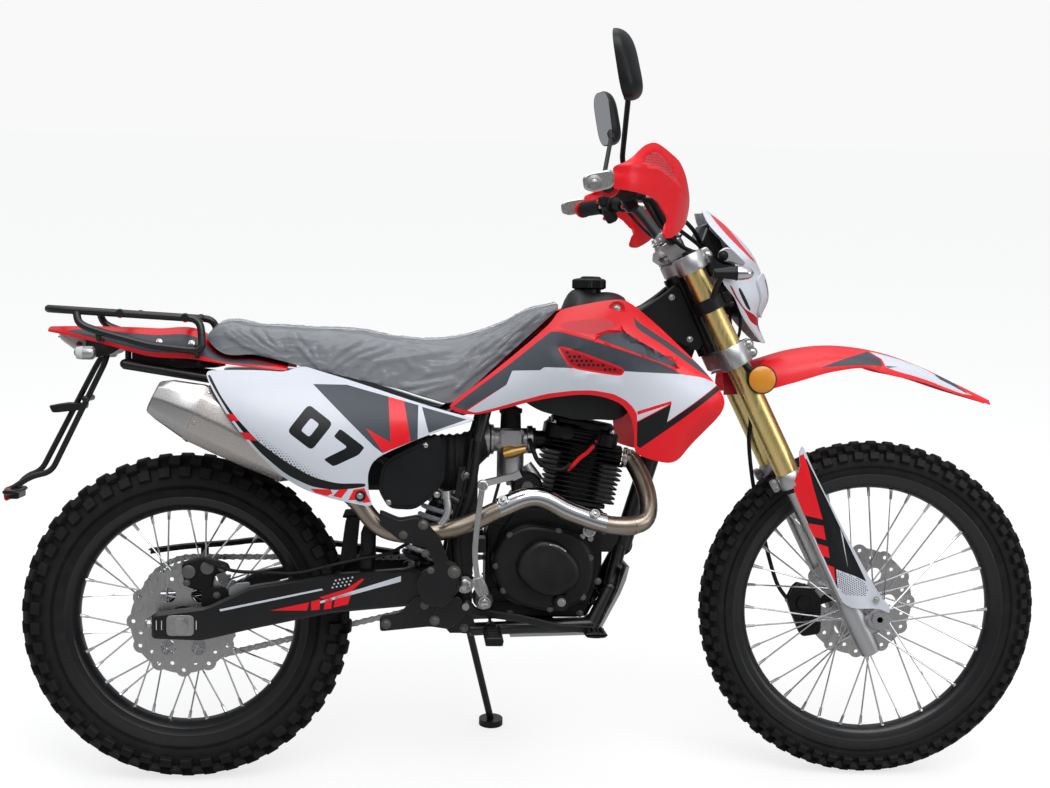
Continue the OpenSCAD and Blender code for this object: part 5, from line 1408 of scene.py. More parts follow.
for i, run in enumerate(CABLES):
    hoses.add(tube(spline(run, 6), 4.0 if i < 2 else 3.2, 10))
hoses.make("hoses_and_cables", "steered", [GRIP, STEEL], 50, "grip_rubber")


# Engine
CYLINDER = shift(768, 0, 562) @ turn(math.radians(10), "Y")
FIN_LOW, FIN_PITCH, FIN_THICK = 12, 9.6, 3.2
CARB_X, INTAKE_Y, INTAKE_Z = 640, -10, 688


def rectangle(length, width, corner):
    x, y = length / 2, width / 2
    return rounded([(-x, -y), (x, -y), (x, y), (-x, y)], corner / min(length, width), 4)


top = Piece()
top.add(post(0, 0, [(0.6, 46), (160, 46)], 40), 0, CYLINDER)
top.add(deck(rectangle(122, 104, 14), 0.6, 9, 1.5), 0, CYLINDER)
# Columns: fins, the first of them, centre ahead of the bore, length, width
for count, first, centre, long, wide in ((5, 0, 5, 150, 116), (4, 5, 0, 166, 122), (3, 9, -2, 160, 120)):
    for i in range(first, first + count):
        low = FIN_LOW + i * FIN_PITCH
        fin = deck(rectangle(long, wide, 30), low, low + FIN_THICK, 1.1)
        top.add(moved(fin, shift(centre, 0, 0)), 0, CYLINDER)
top.add(moved(deck(rectangle(150, 98, 30), 120, 152, 4), shift(-11, 0, 0)), 0, CYLINDER)
top.add(moved(deck(rectangle(128, 88, 30), 150, 169, 6), shift(-11, 0, 0)), 0, CYLINDER)
for y in (-49, 49):
    for i in range(4):
        top.add(block((66, 5, 3.2), 1, (-6, y, 124 + i * 7)), 0, CYLINDER)
    for x in (-72, 46):
        top.add(bolt((x, y * 0.8, 152), (0, 0, 1), 5, 8), 1, CYLINDER)
    top.add(rod((-44, y, 138), (-44, y * 1.1, 138), [(0, 16), (0.6, 16), (1, 13)], 24), 0, CYLINDER)
top.add(rod((40, -22, 108), (75, -22, 108), [(0, 22), (0.9, 22), (1, 19)], 28), 0, CYLINDER)
top.add(rod((684.5, INTAKE_Y, INTAKE_Z), (752, INTAKE_Y, INTAKE_Z),
            [(0, 24), (0.08, 24), (0.1, 18.5), (1, 18.5)], 28))
SPARK_WIRE = [
    (806, -62, 690), (800, -66, 680), (788, -68, 667), (775, -68, 657), (762, -66, 643), (752, -58, 632)
]
top.add(tube(spline(SPARK_WIRE, 5), 4.4, 10), 2)
BREATHER = [
    (676, -40, 690), (682, -60, 671), (693, -64, 648), (716, -65, 635), (742, -65, 634), (757, -62, 645)
]
top.add(tube(spline(BREATHER, 5), 4.6, 12), 3)
top.add(rod((812, -50, 700), (800, -66, 680), [(0, 5), (0.2, 8), (1, 6)], 14), 3)
top.make("cylinder_and_head", "chassis", [CAST, CHROME, RED, GRIP], 34, "black_paint", ("engine_top",))

CASE = [
    (598, 345), (640, 337), (790, 337), (812, 395), (822, 440), (822, 520), (825, 551), (695, 574),
    (610, 556), (590, 505), (590, 380)
]
case = Piece().add(plate(CASE, 0.14, -61.8, -4, 4)).add(plate(CASE, 0.14, -3, 56, 4))
for z in (365, 395, 520, 545):
    case.add(plate([(600, z), (815, z - 4), (815, z + 3), (600, z + 6)], 0.2, -63, 57, 2))
case.bolts(((612, 540), (655, 560), (812, 540), (815, 410), (640, 345), (780, 345)), -61.5, 5, 4, 1)
# Starter motor behind the cylinder
case.add(rod((672, -52, 596), (672, 46, 596), [(0, 26), (0.06, 31), (0.3, 31), (0.32, 29), (0.94, 29),
                                               (1, 24)], 32))
case.add(rod((672, -60, 596), (672, -50, 596), [(0, 12), (1, 14)], 20), 1)
case.add(block((58, 60, 26), 4, (668, 0, 572)))
DRIVE_AT, DRIVE_R, DRIVE_TEETH, CHAIN_Y = Vector((625, 405)), 33, 14, 72
case.add(bar((DRIVE_AT.x, 55, DRIVE_AT.y), (DRIVE_AT.x, 75, DRIVE_AT.y), 12, 20), 1)
teeth = []
for a in angles(DRIVE_TEETH, 0.5):
    for da, r in ((-0.13, -5), (-0.05, 3.5), (0.05, 3.5), (0.13, -5)):
        reach = DRIVE_R + r
        teeth.append((DRIVE_AT.x + reach * math.cos(a + da), DRIVE_AT.y + reach * math.sin(a + da)))
case.add(slab(teeth, CHAIN_Y - 2.8, CHAIN_Y + 2.8, 0.8), 1)
case.make("crankcase_halves", "chassis", [CAST, BURNT], 36, "dark_alloy", ("crankcase",))

CLUTCH_EDGE = [
    (600, 425), (640, 376), (732, 345), (790, 386), (812, 455), (788, 513), (729, 556), (651, 556), (614, 503)
]
COVER_EDGE = [
    (600, 445), (609, 484), (630, 514), (674, 531), (733, 524), (779, 505), (803, 465), (803, 419),
    (788, 379), (755, 359), (716, 352), (657, 366), (617, 392)
]
DOME_EDGE = [
    (648, 441), (660, 478), (692, 501), (731, 494), (768, 458), (772, 422), (746, 396), (707, 389), (668, 409)
]


def pillow(outline, rows):
    """A cover with rounded shoulders. Rows: drawn in by, side offset."""
    edge = [tuple(p) for p in spline(outline, 5, True)]
    return loft([[(x, y, z) for x, z in inset(edge, by)] for by, y in rows])


covers = Piece().add(plate(CLUTCH_EDGE, 0.22, -74, -62.6, 2))
covers.add(pillow(COVER_EDGE, ((0, -64), (0, -88), (1.5, -95), (5, -100), (10, -103), (16, -104))))
covers.add(pillow(DOME_EDGE, ((-5, -98), (-4, -106), (0, -109), (1, -120), (4, -126), (9, -129), (15, -130))))
covers.bolts(inset(COVER_EDGE, 9)[::2], -102, 4.5, 5, 1)
# A bright steel arc along the dome's upper edge: a painted highlight for the light caught there
highlight_arc = [(709 + 48 * math.cos(a), -129, 446 + 46 * math.sin(a)) for a in spaced(0.75, 1.55, 14)]
covers.add(tube(highlight_arc, [0.6] + [2.4] * 12 + [0.6], 10), 2)
covers.add(rod((738, -98, 376), (738, -113, 376), [(0, 18), (0.7, 18), (1, 14)], 28))
covers.add(bolt((738, -113, 376), RIGHTWARD, 6, 5), 2)
covers.add(rod((792, -88, 516), (792, -112, 516), [(0, 13), (0.5, 13), (0.55, 10), (1, 9)], 12), 2)
covers.bolts(((779, 504), (795, 500)), -96, 4, 6, 2)
covers.add(bar((584, -100, 382), (584, -72, 382), 20, 28), 0)
LEFT_COVER = [(690, 440), (700, 360), (790, 350), (814, 440), (790, 500), (700, 500)]
covers.add(plate(LEFT_COVER, 0.25, 56.6, 96, 6))
covers.add(moved(turned([(0.01, 56.6), (62, 56.6), (62, 92), (55, 100), (30, 103), (0.01, 104)], 56),
                 shift(752, 0, 440)))
for a in angles(7, 0.2):
    covers.add(bolt((752 + 54 * math.cos(a), 98, 440 + 54 * math.sin(a)), (0, 1, 0), 4.5, 4), 1)
covers.make("engine_side_covers", "chassis", [CAST, BURNT, STEEL], 36, "dark_alloy", ("engine_covers",))

KICK = [(571, -169, 428), (565, -171, 480), (569, -174, 540), (578, -178, 612)]
kick = Piece().add(rod((584, -126.4, 386), (584, -176, 386), [(0, 13), (0.05, 16), (0.7, 16), (0.75, 14),
                                                              (1, 12)], 24), 0)
kick.add(block((24, 18, 42), 4, (0, 0, 0)), 0, shift(576, -166, 416) @ turn(math.radians(-24), "Y"))
kick.add(tube(spline(KICK, 4), 7.4, 4), 0)
kick.add(tube([(576, -178, 610), (584, -181, 617), (646, -195, 634)], [8, 8.4, 8], 4), 0)
kick.add(rod((578, -168, 612), (578, -191, 612), [(0, 8), (0.05, 10), (0.95, 10), (1, 8)], 20), 0)
kick.add(bar((634, -192, 629), (650, -196, 637), 9.4, 4), 1)
kick.add(bolt((584, -175.5, 386), RIGHTWARD, 7, 4), 1)
kick.add(bar((584, -150, 382), (584, -104.8, 382), 9, 20), 2)
kick.make("kick_start_lever", "chassis", [STEEL, CHROME, CAST], 30, "steel", ("kick_lever",))

# Carburettor, intake boot and airbox
carb = Piece()
carb.add(rod((600.5, INTAKE_Y, INTAKE_Z), (683.5, INTAKE_Y, INTAKE_Z),
             [(0, 30), (0.06, 30), (0.08, 24), (0.86, 23), (0.88, 28), (1, 28)], 28))
carb.add(post(CARB_X, INTAKE_Y, [(596, 7), (604, 9), (606, 22), (612, 27), (664, 27), (668, 30), (674, 30),
                                 (676, 24)], 28))
carb.add(block((50, 52, 44), 5, (640, -12, 690)))
carb.add(post(CARB_X, INTAKE_Y, [(708, 21), (740, 20), (742, 23), (750, 23), (752, 16), (758, 6),
                                 (768, 5)], 24), 1)
carb.add(block((34, 16, 20), 4, (636, -42, 668)), 2)
carb.add(rod((624, -50, 660), (668, -50, 672), [(0, 9), (0.4, 11), (1, 8)], 16), 2)
carb.bolts(((616, 676), (664, 676), (622, 704), (660, 704)), -38, 3.5, 4, 3)
carb.add(rod((672, -30, 640), (694, -34, 606), [(0, 10), (0.5, 12), (1, 13)], 20))
carb.add(tube(spline([(640, -10, 766), (650, -14, 800), (700, -40, 850)], 6), 4, 10), 1)
carb.add(tube(spline([(618, -30, 606), (600, -70, 540), (596, -70, 440), (600, -66, 330)], 6), 3.2, 8), 1)
carb.make("carburettor_body", "chassis", [ALLOY, GRIP, BRASS, STEEL], 36, "silver_alloy", ("carburettor",))

AIR_PLATE = [(388, 655), (471, 696), (499, 706), (508, 622), (486, 588), (450, 560), (400, 562), (378, 600)]
air = Piece().add(block((232, 149, 168), 10, (346, 0, 674)))
# The ribbed boot. Columns: along, sideways, height, half width, half height
BOOT = table_curve([
    [456, -52, 650, 20, 50], [500, -54, 645, 24, 56], [548, -50, 652, 26, 54], [575, -24, 676, 30, 42],
    [599.4, -10, 688, 31, 31]
])
folds = []
for i, x in enumerate(spaced(456, 599.4, 40)):
    _, y, z, wide, high = BOOT(x)
    ripple = -2.5 if i % 4 > 1 and x < 574 else 0
    folds.append([(x, y + (wide + ripple) * math.sin(a), z + (high + ripple) * math.cos(a))
                  for a in angles(36)])
air.add(loft(folds), 1)
air.add(rod((586, INTAKE_Y, INTAKE_Z), (597, INTAKE_Y, INTAKE_Z),
            [(0, 33), (0, 36), (1, 36), (1, 33)], 36), 2)
air.add(plate(AIR_PLATE, 0.3, -143, -138, 1.6)).add(plate(inset(AIR_PLATE, 7), 0.3, -144.4, -141, 1))
air.bolts(((400, 575), (492, 590), (470, 684)), -143, 4.5, 3, 3)
air.add(bar((430, -138.5, 600), (430, -70, 600), 10, 16))
air.both(bar((330, -70, 716), (330, -170, 716), 8, 14))
air.make("airbox_and_boot", "chassis", [BLACK, GRIP, ALLOY, STEEL], 36, "black_plastic", ("airbox",))

# Exhaust
HEADER_RUN = [
    (864.8, -22, 655), (886, -30, 646), (908, -78, 585), (896, -116, 537), (829, -132, 531), (750, -140, 556),
    (682, -142, 585), (614, -140, 562), (540, -136, 528), (450, -132, 512), (383, -128, 526),
    (336, -126, 578), (300, -126, 606), (264, -126.6, 626)
]
run = [Vector(p) for p in spline(HEADER_RUN, 6)]
pipe = Piece().add(tube(run, 18.3, 28))
pipe.add(tube(run[1:4], 20.2, 28), 1).add(tube(run[-9:-5], 21, 28), 1)
for k in (20, 52, 66):
    pipe.add(tube([run[k], run[k].lerp(run[k + 1], 0.25)], 19.2, 28))
for y, z in ((-22, 14), (20, -12)):
    pipe.add(bolt(run[2] + Vector((0, y, z)), (1, 0, 0), 5, 8), 1)
pipe.make("exhaust_header", "chassis", [HEADER, STEEL], 40, "steel", ("exhaust_pipe",))


def shell_ring(i, low, high, inner, outer, count=14):
    ahead = (run[i + 1] - run[i - 1]).normalized()
    up = (Vector((0, 0, 1)) - ahead * ahead.z).normalized()
    side = ahead.cross(up)
    arc = [math.radians(a) for a in spaced(low, high, count)]
    return ([run[i] + outer * (math.cos(a) * up + math.sin(a) * side) for a in arc]
            + [run[i] + inner * (math.cos(a) * up + math.sin(a) * side) for a in arc[::-1]])


SHIELD = range(25, 43)
shield = Piece().add(loft([shell_ring(i, 55, -105, 19.2, 21.8) for i in SHIELD]))
for i in (27, 41):
    spot = shell_ring(i, -20, -80, 19, 25, 3)[1]
    away = (spot - run[i]).normalized()
    shield.add(rod(spot - away * 5, spot + away * 2, [(0, 9), (0.7, 11), (1, 9)], 24), 0)
    shield.add(bolt(spot + away * 1.5, away, 5, 4), 1)
shield.make("header_shield", "chassis", [CHROME, STEEL], 40, "chrome", ("heat_shield",))

MUFFLER_FRONT, MUFFLER_REAR = Vector((255, -127, 630)), Vector((-44, -140, 774))
length = (MUFFLER_REAR - MUFFLER_FRONT).length
ahead = (MUFFLER_REAR - MUFFLER_FRONT).normalized()
up = (Vector((0, 0, 1)) - ahead * ahead.z).normalized()
side = ahead.cross(up)


def can_ring(at, width, height, raised=0.0, facets=10):
    spot = MUFFLER_FRONT + ahead * at + up * raised
    corners = [(height * math.cos(a), width * math.sin(a)) for a in angles(facets, math.pi / facets)]
    return [spot + up * u + side * v for u, v in rounded(corners, 0.14, 3)]


# Rows: distance along, half width, half height, raised off the axis
NECK = ((-8, 21, 21), (14, 22, 22), (46, 35.5, 43))
SLEEVE = ((46, 36, 43.6), (48, 37, 45), (120, 39, 54, 4), (190, 41, 60, 8), (248, 41, 59, 7),
          (250, 40, 57.5, 7))
REAR_CAP = ((249, 40.6, 58, 7), (256, 40.6, 57, 7), (length - 22, 33, 43, 3), (length - 3, 27.5, 34),
            (length, 24, 30), (length - 1, 16, 16), (length - 40, 14, 14))
can = Piece().add(loft([can_ring(*row) for row in NECK]), 1).add(loft([can_ring(*row) for row in SLEEVE]), 0)
can.add(loft([can_ring(*row) for row in REAR_CAP]), 1)
for at, width, height, raised in ((56, 37.4, 46.6, 0.4), (241, 41.2, 59.6, 7.2)):
    band = [can_ring(at - 6, width, height, raised), can_ring(at + 6, width + 0.3, height + 0.3, raised)]
    can.add(loft(band), 0)
    ring = can_ring(at, width, height, raised)
    for corner, nxt in zip(ring[3::8], ring[4::8]):
        spot = corner.lerp(nxt, 0.5)
        away = (spot - MUFFLER_FRONT - ahead * at - up * raised).normalized()
        can.add(rod(spot - away, spot + away * 2.4, [(0, 4), (0.6, 4), (1, 2)], 12), 2)
can.add(bar((150, -118, 712), (150, -90, 768), 6, 14), 3)
can.add(rod(MUFFLER_FRONT - ahead * 7.5, MUFFLER_FRONT + ahead * 6,
            [(0, 22), (0, 24), (1, 24), (1, 22)], 28), 2)
can.make("muffler_can", "chassis", [SHELL, BRIGHT, STEEL, SATIN], 24, "steel", ("muffler",))


# Swing arm
ARM = [
    (-55, 304), (-55, 352), (50, 366), (134, 406), (287, 429), (440, 441), (478, 432), (478, 380), (440, 368),
    (287, 354), (134, 322), (40, 300)
]
ARM_OUT = 116
RED_MARKS = [
    [(173, 360), (247, 376), (243, 360)], [(251, 378), (269, 382), (267, 362), (251, 360)],
    [(278, 382), (292, 386), (290, 364), (275, 362)], [(298, 390), (329, 396), (322, 372), (294, 366)],
    [(267, 386), (318, 402), (349, 423), (353, 421), (329, 398), (274, 382)]
]
WHITE_MARKS = [
    [(267, 378), (424, 428), (424, 417), (269, 374)], [(75, 362), (271, 403), (274, 400), (77, 358)]
]
EARS = [(425, 380), (548, 386), (572, 410), (548, 434), (425, 436)]
arm = Piece().both(plate(ARM, 0.12, -ARM_OUT, -84, 5)).both(plate(EARS, 0.2, -58, -34, 3))
arm.add(bar((440, -90, 398), (440, 90, 398), 26, 32))
arm.add(bar((548, -110, 410), (548, 110, 410), 8, 20), 1)
for mark, group in ((2, RED_MARKS), (3, WHITE_MARKS)):
    for outline in group:
        arm.both(slab(outline, -ARM_OUT - 0.7, -ARM_OUT + 1, 0.2), mark)
for i in range(5):
    for j in range(3):
        x, z = 292 + i * 8 + j * 3, 405 + i * 1.5 + j * 7
        arm.both(bar((x, -ARM_OUT + 1, z), (x, -ARM_OUT - 0.7, z), 1.8, 8), 3)
# Chain adjusters and their marks
for x in (-46, -36, 30):
    arm.both(slab([(x, 322), (x + 1.6, 322), (x + 1.6, 340), (x, 340)], -ARM_OUT - 0.6, -ARM_OUT + 1, 0.2), 3)
arm.both(plate([(-26, 310), (26, 310), (26, 350), (-26, 350)], 0.2, -ARM_OUT - 0.5, -ARM_OUT + 2, 0.4), 1)
arm.both(rod((-52, -100, 330), (-66, -100, 330), [(0, 5), (0.4, 5), (0.4, 8), (0.9, 8), (1, 6)], 6), 1)
arm.both(bolt((548, -109, 410), RIGHTWARD, 12, 8), 1)
arm.make("swing_arm", "chassis", [SATIN, STEEL, RED, WHITE], 36, "black_paint", ("swingarm",))
coat_node("rear_axle", STEEL)

# Chain and its guard
REAR_PITCH_R, LINKS = 107, 106
REAR_AT = Vector((0, REAR_Z))
span = (DRIVE_AT - REAR_AT).length
slope = math.atan2(DRIVE_AT.y - REAR_AT.y, DRIVE_AT.x)
swing = math.asin((REAR_PITCH_R - DRIVE_R) / span)
straight = span * math.cos(swing)
front_wrap, rear_wrap = DRIVE_R * (math.pi - 2 * swing), REAR_PITCH_R * (math.pi + 2 * swing)
CHAIN_LOOP = 2 * straight + front_wrap + rear_wrap


def aim(a):
    return Vector((math.cos(a), math.sin(a)))


def on_chain(s):
    """A point of the pitch line, from the top of the rear sprocket forward and round."""
    s %= CHAIN_LOOP
    if s < straight:
        return REAR_AT + REAR_PITCH_R * aim(math.pi / 2 + slope - swing) + s * aim(slope - swing)
    s -= straight
    if s < front_wrap:
        return DRIVE_AT + DRIVE_R * aim(math.pi / 2 + slope - swing - s / DRIVE_R)
    s -= front_wrap
    if s < straight:
        return DRIVE_AT + DRIVE_R * aim(slope + swing - math.pi / 2) + s * aim(math.pi + slope + swing)
    return REAR_AT + REAR_PITCH_R * aim(slope + swing - math.pi / 2 - (s - straight) / REAR_PITCH_R)


chain = Piece()
for i in range(LINKS):
    a, b = on_chain(CHAIN_LOOP * i / LINKS), on_chain(CHAIN_LOOP * (i + 1) / LINKS)
    ahead = (b - a).normalized()
    side = Vector((-ahead.y, ahead.x))
    oval = []
    for end, way in ((b, 1), (a, -1)):
        for t in (-1.2, -0.6, 0, 0.6, 1.2):
            oval.append(end + 6 * (way * math.cos(t) * ahead + way * math.sin(t) * side))
    oval += [a.lerp(b, 0.5) - 4.2 * side]
    oval.insert(5, a.lerp(b, 0.5) + 4.2 * side)
    near, far = (3.4, 5) if i % 2 else (5.4, 7)
    for way in (-1, 1):
        chain.add(loft([[(p.x, CHAIN_Y + way * y, p.y) for p in oval] for y in (near, far)]))
    chain.add(bar((a.x, CHAIN_Y - 7.8, a.y), (a.x, CHAIN_Y + 7.8, a.y), 2.4, 8), 1)
    chain.add(bar((a.x, CHAIN_Y - 3.3, a.y), (a.x, CHAIN_Y + 3.3, a.y), 4.6, 10), 1)
chain.make("chain_links", "chassis", [STEEL, CHROME], 40, "chain_steel", ("chain",))

GUARD_RUN = spline([(-90, 452), (-20, 462), (75, 470), (133, 476), (240, 474), (340, 462), (420, 450)], 4)
sheet = [[(x, 66, z), (x, 92, z), (x, 95, z - 3), (x, 95, z - 13), (x, 93, z - 13), (x, 93, z - 3.6),
          (x, 91, z - 1.8), (x, 66, z - 1.8)] for x, z in GUARD_RUN]
guard = Piece().add(loft(sheet))
for x, z in ((20, 462), (330, 461)):
    guard.add(block((16, 8, 40), 2, (x, 97, z - 22))).add(bolt((x, 101, z - 10), (0, 1, 0), 4.5, 4), 1)
guard.make("chain_cover", "chassis", [BLACK, STEEL], 36, "black_plastic")

# Shock absorber
SHOCK_LOW, SHOCK_TOP = Vector((452, 0, 442)), Vector((510, 0, 585))
shock = Piece().add(rod(SHOCK_LOW, SHOCK_TOP, [(0, 22), (0.04, 33), (0.08, 33), (0.1, 19), (0.86, 20),
                                               (0.88, 33), (1, 33)], 32))
lift = (SHOCK_TOP - SHOCK_LOW).normalized()
across = lift.orthogonal().normalized()
over = lift.cross(across)
coil = [SHOCK_LOW + lift * (14 + 114 * t) + 28 * (math.cos(a) * across + math.sin(a) * over)
        for t, a in ((k / 150, k / 150 * math.tau * 6.5) for k in range(151))]
shock.add(tube(coil, 5, 10), 1)
shock.add(rod((500, 0, 560), (521, 0, 612), [(0, 20), (0.9, 20), (1, 16)], 28), 2)
shock.add(bar((452, 0, 446), (447, 0, 424), 12, 20), 2)
shock.add(bar((518, 0, 611), (542, 0, 621.4), 9, 18), 2)
shock.make("shock_and_spring", "chassis", [SATIN, WHITE, STEEL], 40, "steel", ("rear_shock",))

# Rear brake
PADS = [(-3, 446), (38, 458), (84, 444), (90, 432), (62, 424), (56, 394), (30, 392), (4, 402)]
brake = Piece().add(plate(PADS, 0.22, -83.4, -74, 3)).add(plate(PADS, 0.22, -62, -50.6, 3))
brake.add(plate([(-1, 447), (38, 458), (80, 446), (82, 441), (40, 447), (2, 443)], 0.2, -76, -60, 1.2))
brake.add(plate([(36, 340), (88, 348), (88, 400), (36, 400)], 0.2, -83.4, -75.2, 1.5))
for x, z in ((12, 430), (48, 438)):
    brake.add(rod((x, -83.4, z), (x, -86, z), [(0, 13), (0.6, 13), (1, 10)], 24), 1)
brake.bolts(((76, 437), (66, 384), (8, 408)), -83, 5, 5, 1)
brake.add(plate([(88, 380), (130, 384), (130, 410), (104, 408), (88, 398)], 0.2, -83.4, -76, 1.5), 2)
brake.make("rear_brake_caliper", "chassis", [CAST, BURNT, ALLOY], 36, "dark_alloy", ("rear_caliper",))

lines = Piece()
PIPE = [
    (40, -84, 455), (98, -110, 437), (160, -113, 434), (223, -113, 433), (282, -110, 446), (337, -104, 458),
    (400, -98, 470), (470, -100, 500), (500, -102, 430), (520, -104, 380)
]
lines.add(tube(spline(PIPE, 5), 3.4, 10))
for x, y, z in ((160, -113, 434), (282, -110, 446)):
    lines.add(block((12, 10, 9), 2, (x, y, z - 1)))
ELBOW = [(510, -158, 588), (513, -160, 570), (509, -161, 550), (498, -160, 534)]
lines.add(tube(spline(ELBOW, 5), 7, 14), 1).add(bar((510, -158, 584), (509, -157, 598), 9, 16), 1)
LOOM = [
    (572, -96, 690), (566, -102, 640), (557, -106, 587), (540, -106, 530), (532, -106, 495), (534, -106, 455),
    (540, -104, 415), (556, -98, 360)
]
lines.add(tube(spline(LOOM, 5), 8, 16))
lines.add(tube(spline([(x - 12, y + 6, z + 4) for x, y, z in LOOM[:-1]], 5), 4, 10))
CANISTER = [(356, -78, 424), (357, -80, 440), (359, -82, 470), (360, -84, 508), (360, -85, 522)]
lines.add(tube(CANISTER, [9, 15, 15, 15, 10], 24)).add(tube(CANISTER[1:3], 16, 24), 2)
FLAP = [(315, 535), (343, 538), (335, 450), (303, 448)]
lines.add(plate(FLAP, 0.12, -62, -59, 0.8)).add(block((44, 120, 6), 2, (330, 0, 536)))
lines.make("brake_lines_and_flap", "chassis", [GRIP, ALLOY, BLACK], 38, "black_plastic")

# Heel bracket in front of the pipe, the lower pivot plate and the linkage below the arm
HEEL = [
    (383, 563), (421, 547), (460, 554), (498, 509), (515, 464), (531, 459), (538, 407), (506, 374),
    (467, 380), (454, 420), (467, 446), (490, 456), (473, 489), (422, 502), (383, 534)
]
LINKAGE = [
    (383, 350), (422, 357), (455, 390), (487, 383), (539, 390), (553, 357), (520, 324), (481, 330),
    (422, 324), (384, 320)
]
heel = Piece().add(plate(HEEL, 0.18, -159, -153, 1.5)).add(plate(LINKAGE, 0.2, -124, -117, 1.5))
heel.add(plate(inset(HEEL, 6), 0.18, -161, -157, 1))
for x, z, r in ((466, 534, 7), (428, 514, 6), (470, 478, 5), (526, 443, 9), (481, 446, 5)):
    heel.add(bolt((x, -160, z), RIGHTWARD, r, 5), 1)
for x, z, r in ((490, 342, 7), (396, 335, 7), (470, 372, 6)):
    heel.add(bolt((x, -124, z), RIGHTWARD, r, 5), 1)
for x, z in ((526, 443), (515, 400)):
    heel.add(bar((x, -96, z), (x, -154, z), 8, 18))
heel.add(bar((530, -96, 340), (530, -118, 340), 9, 18))
heel.make("heel_bracket", "chassis", [SATIN, BURNT], 36, "black_paint")

# Frame, skid plate, stand and foot controls
coat_node("frame", SATIN)
coat_node("skid_plate", ALLOY)
coat_node("side_stand", SATIN)
fittings = Piece()
for x, z, r in ((527, 434, 6), (527, 336, 6), (548, 322, 6), (552, 540, 6), (550, 622, 8), (545, 585, 5)):
    fittings.both(bolt((x, -96, z), RIGHTWARD, r, 6))
fittings.both(plate([(508, 450), (560, 445), (566, 520), (524, 522)], 0.15, -97.6, -95.8, 0.6), 1)
for x, z in ((845, 430), (812, 358)):
    fittings.both(bolt((x + 14, -60, z + 8), (0.9, -0.2, 0.4), 6, 5))
# Weld rings on the cross tubes
for x, z in ((868, 476), (600, 798)):
    fittings.add(tube([(x, -1.5, z), (x, 1.5, z)], 23.5, 32), 1)
fittings.make("frame_fittings", "chassis", [BURNT, SATIN], 36, "steel")

PEDAL = [
    (541, 366), (548, 382), (560, 379), (572, 364), (604, 360), (656, 353), (734, 334), (800, 329),
    (822, 326), (822, 315), (800, 316), (732, 320), (652, 339), (598, 346), (556, 352)
]
SHIFT = [
    (670, 379), (684, 385), (735, 373), (784, 380), (796, 379), (796, 365), (735, 359), (684, 366), (672, 368)
]
feet = Piece().add(plate(PEDAL, 0.2, -122, -112, 2)).add(plate(SHIFT, 0.2, 112, 121, 2))
feet.both(rod((600, -100.6, 325), (600, -140, 325), [(0, 11), (0.5, 11), (0.6, 8), (1, 8)], 20), 1)
peg = [(584, 316), (616, 316), (618, 326), (614, 332), (586, 332), (582, 326)]
feet.both(plate(peg, 0.15, -249, -138, 2), 1)
for i in range(7):
    y = -146 - i * 16
    feet.both(slab([(583, 330), (617, 330), (614, 337), (610, 333), (590, 333), (586, 337)],
                   y - 4, y, 0.5), 1)
feet.add(rod((550, -96.6, 369), (550, -126, 369), [(0, 9), (0.85, 9), (1, 7)], 20), 2)
feet.add(block((44, 50, 12), 3, (802, -140, 320)), 1)
for i in range(4):
    feet.add(block((5, 46, 4), 1, (788 + i * 9, -140, 327)), 1)
feet.add(rod((680, 56.6, 375), (680, 126, 375), [(0, 6), (0.7, 6), (0.7, 10), (0.95, 10), (1, 7)], 18), 2)
feet.add(rod((788, 108, 372), (788, 170, 372), [(0, 6), (0.2, 6), (0.22, 9.5), (0.5, 10.5), (0.97, 9.5),
                                                (1, 7)], 20), 3)
feet.make("pegs_and_pedals", "chassis", [SATIN, CAST, STEEL, GRIP], 36, "steel", ("foot_controls",))


# Stage, light and camera
SKY_LOW, SKY_HIGH, BACKDROP = 0.13, 0.85, 0.945
FLOOR_LIT, FLOOR_SEEN, FLOOR_GLOW = 0.42, 0.30, 0.735
# Columns: name, place, aimed at, size, power
LAMPS = [
    ("key", (0.6, -2.6, 4.2), (0, 0, 0.5), (4, 2.5), 100),
    ("overhead", (-0.5, 0.6, 4.6), (0, 0, 0.5), (4, 3), 52),
    ("front_fill", (3.6, -2.4, 1.8), (0.3, 0, 0.6), (2, 2), 22),
]


def show_camera(nodes, link, lit, shown, kind):
    """What the camera sees itself is shown; light and reflections come from what is lit."""
    pick = nodes.new("ShaderNodeMixShader")
    link(nodes.new("ShaderNodeLightPath").outputs["Is Camera Ray"], pick.inputs["Fac"])
    link(lit.outputs[0], pick.inputs[1])
    link(shown.outputs[0], pick.inputs[2])
    link(pick.outputs[0], nodes.new("ShaderNodeOutput" + kind).inputs["Surface"])


def stage():
    bpy.ops.mesh.primitive_plane_add(size=60)
    floor = bpy.context.object
    floor.name = "floor"
    paint = bpy.data.materials.new("pale_floor")
    paint.use_nodes = True
    nodes, link = paint.node_tree.nodes, paint.node_tree.links.new
    nodes.clear()
    lit = add_node(nodes, "BsdfDiffuse", Color=(*[FLOOR_LIT] * 3, 1))
    seen = add_node(nodes, "BsdfDiffuse", Color=(*[FLOOR_SEEN] * 3, 1))
    glow = add_node(nodes, "Emission", Strength=FLOOR_GLOW)
    shown = nodes.new("ShaderNodeAddShader")
    link(seen.outputs[0], shown.inputs[0])
    link(glow.outputs[0], shown.inputs[1])
    show_camera(nodes, link, lit, shown, "Material")
    floor.data.materials.append(paint)


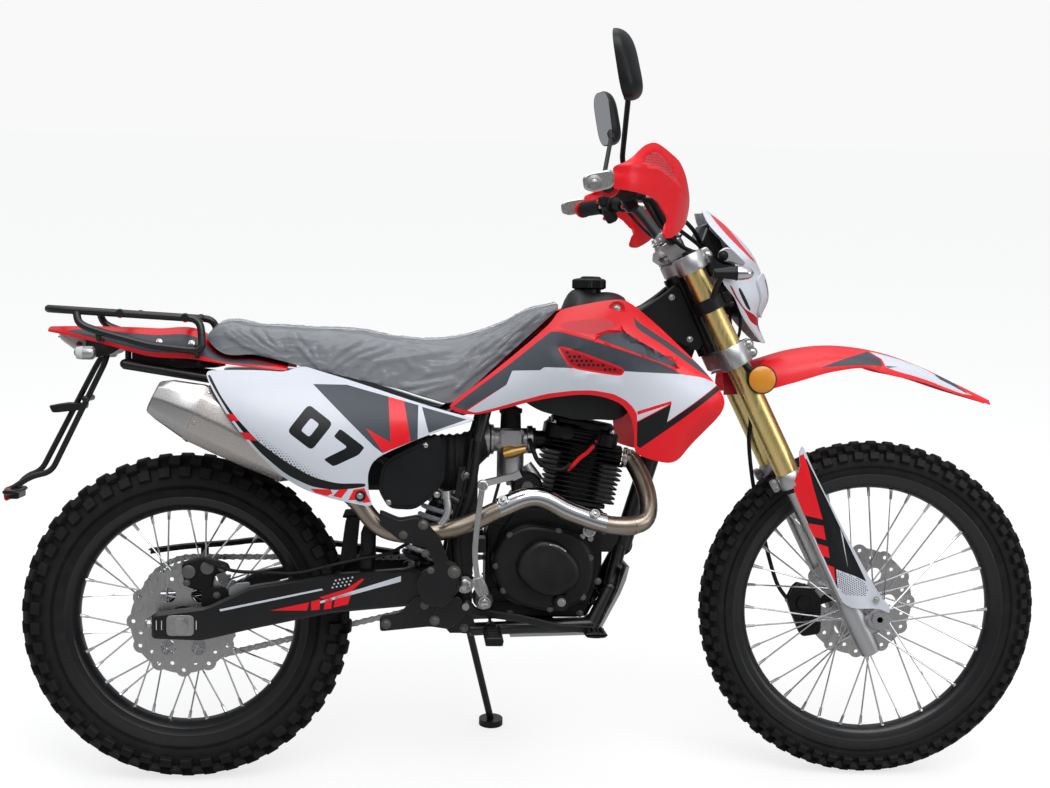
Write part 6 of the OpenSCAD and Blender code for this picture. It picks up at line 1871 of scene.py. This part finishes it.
def studio():
    world = bpy.data.worlds.new("studio")
    scene.world = world
    world.use_nodes = True
    nodes, link = world.node_tree.nodes, world.node_tree.links.new
    nodes.clear()
    height = nodes.new("ShaderNodeSeparateXYZ")
    link(nodes.new("ShaderNodeTexCoord").outputs["Generated"], height.inputs[0])
    sky = nodes.new("ShaderNodeMapRange")
    sky.interpolation_type = "SMOOTHSTEP"
    reach = {"From Min": -0.05, "From Max": 0.9, "To Min": SKY_LOW, "To Max": SKY_HIGH}
    for name, value in reach.items():
        sky.inputs[name].default_value = value
    link(height.outputs["Z"], sky.inputs["Value"])
    around = add_node(nodes, "Background", Color=(0.96, 0.98, 1, 1))
    link(sky.outputs["Result"], around.inputs["Strength"])
    white = add_node(nodes, "Background", Color=(1, 1, 1, 1), Strength=BACKDROP)
    show_camera(nodes, link, around, white, "World")


def lamp(name, at, towards, size, power):
    data = bpy.data.lights.new(name, "AREA")
    data.shape = "RECTANGLE"
    data.size, data.size_y = size
    data.energy = power
    light = bpy.data.objects.new(name, data)
    light.location = at
    light.rotation_euler = (Vector(towards) - Vector(at)).to_track_quat("-Z", "Y").to_euler()
    scene.collection.objects.link(light)


stage()
studio()
for row in LAMPS:
    lamp(*row)

# The camera as found from the photograph, on the upright machine's axes
CAMERA_AT = Vector((448.7, -3175.3, 910.5))
YAW, PITCH, ROLL = 0.0697, 0.0828, 0.0133
PHOTO_WIDTH, FOCAL, SENSOR = 1050, 1586.4, 36
ahead = Vector((math.sin(YAW) * math.cos(PITCH), math.cos(YAW) * math.cos(PITCH), -math.sin(PITCH)))
right = Vector((math.cos(YAW), -math.sin(YAW), 0))
above = right.cross(ahead)
right, above = (right * math.cos(ROLL) + above * math.sin(ROLL),
                above * math.cos(ROLL) - right * math.sin(ROLL))
turned_view = PARKED.to_3x3() @ Matrix((right, above, -ahead)).transposed()
eye = bpy.data.cameras.new("photo_camera")
eye.sensor_width = SENSOR
eye.lens = FOCAL / PHOTO_WIDTH * SENSOR
eye.shift_y = 0.0627
eye.clip_end = 200
camera = bpy.data.objects.new("photo_camera", eye)
camera.matrix_world = Matrix.Translation(PARKED @ CAMERA_AT) @ turned_view.normalized().to_4x4()
scene.collection.objects.link(camera)
scene.camera = camera
scene.view_settings.view_transform = "Standard"
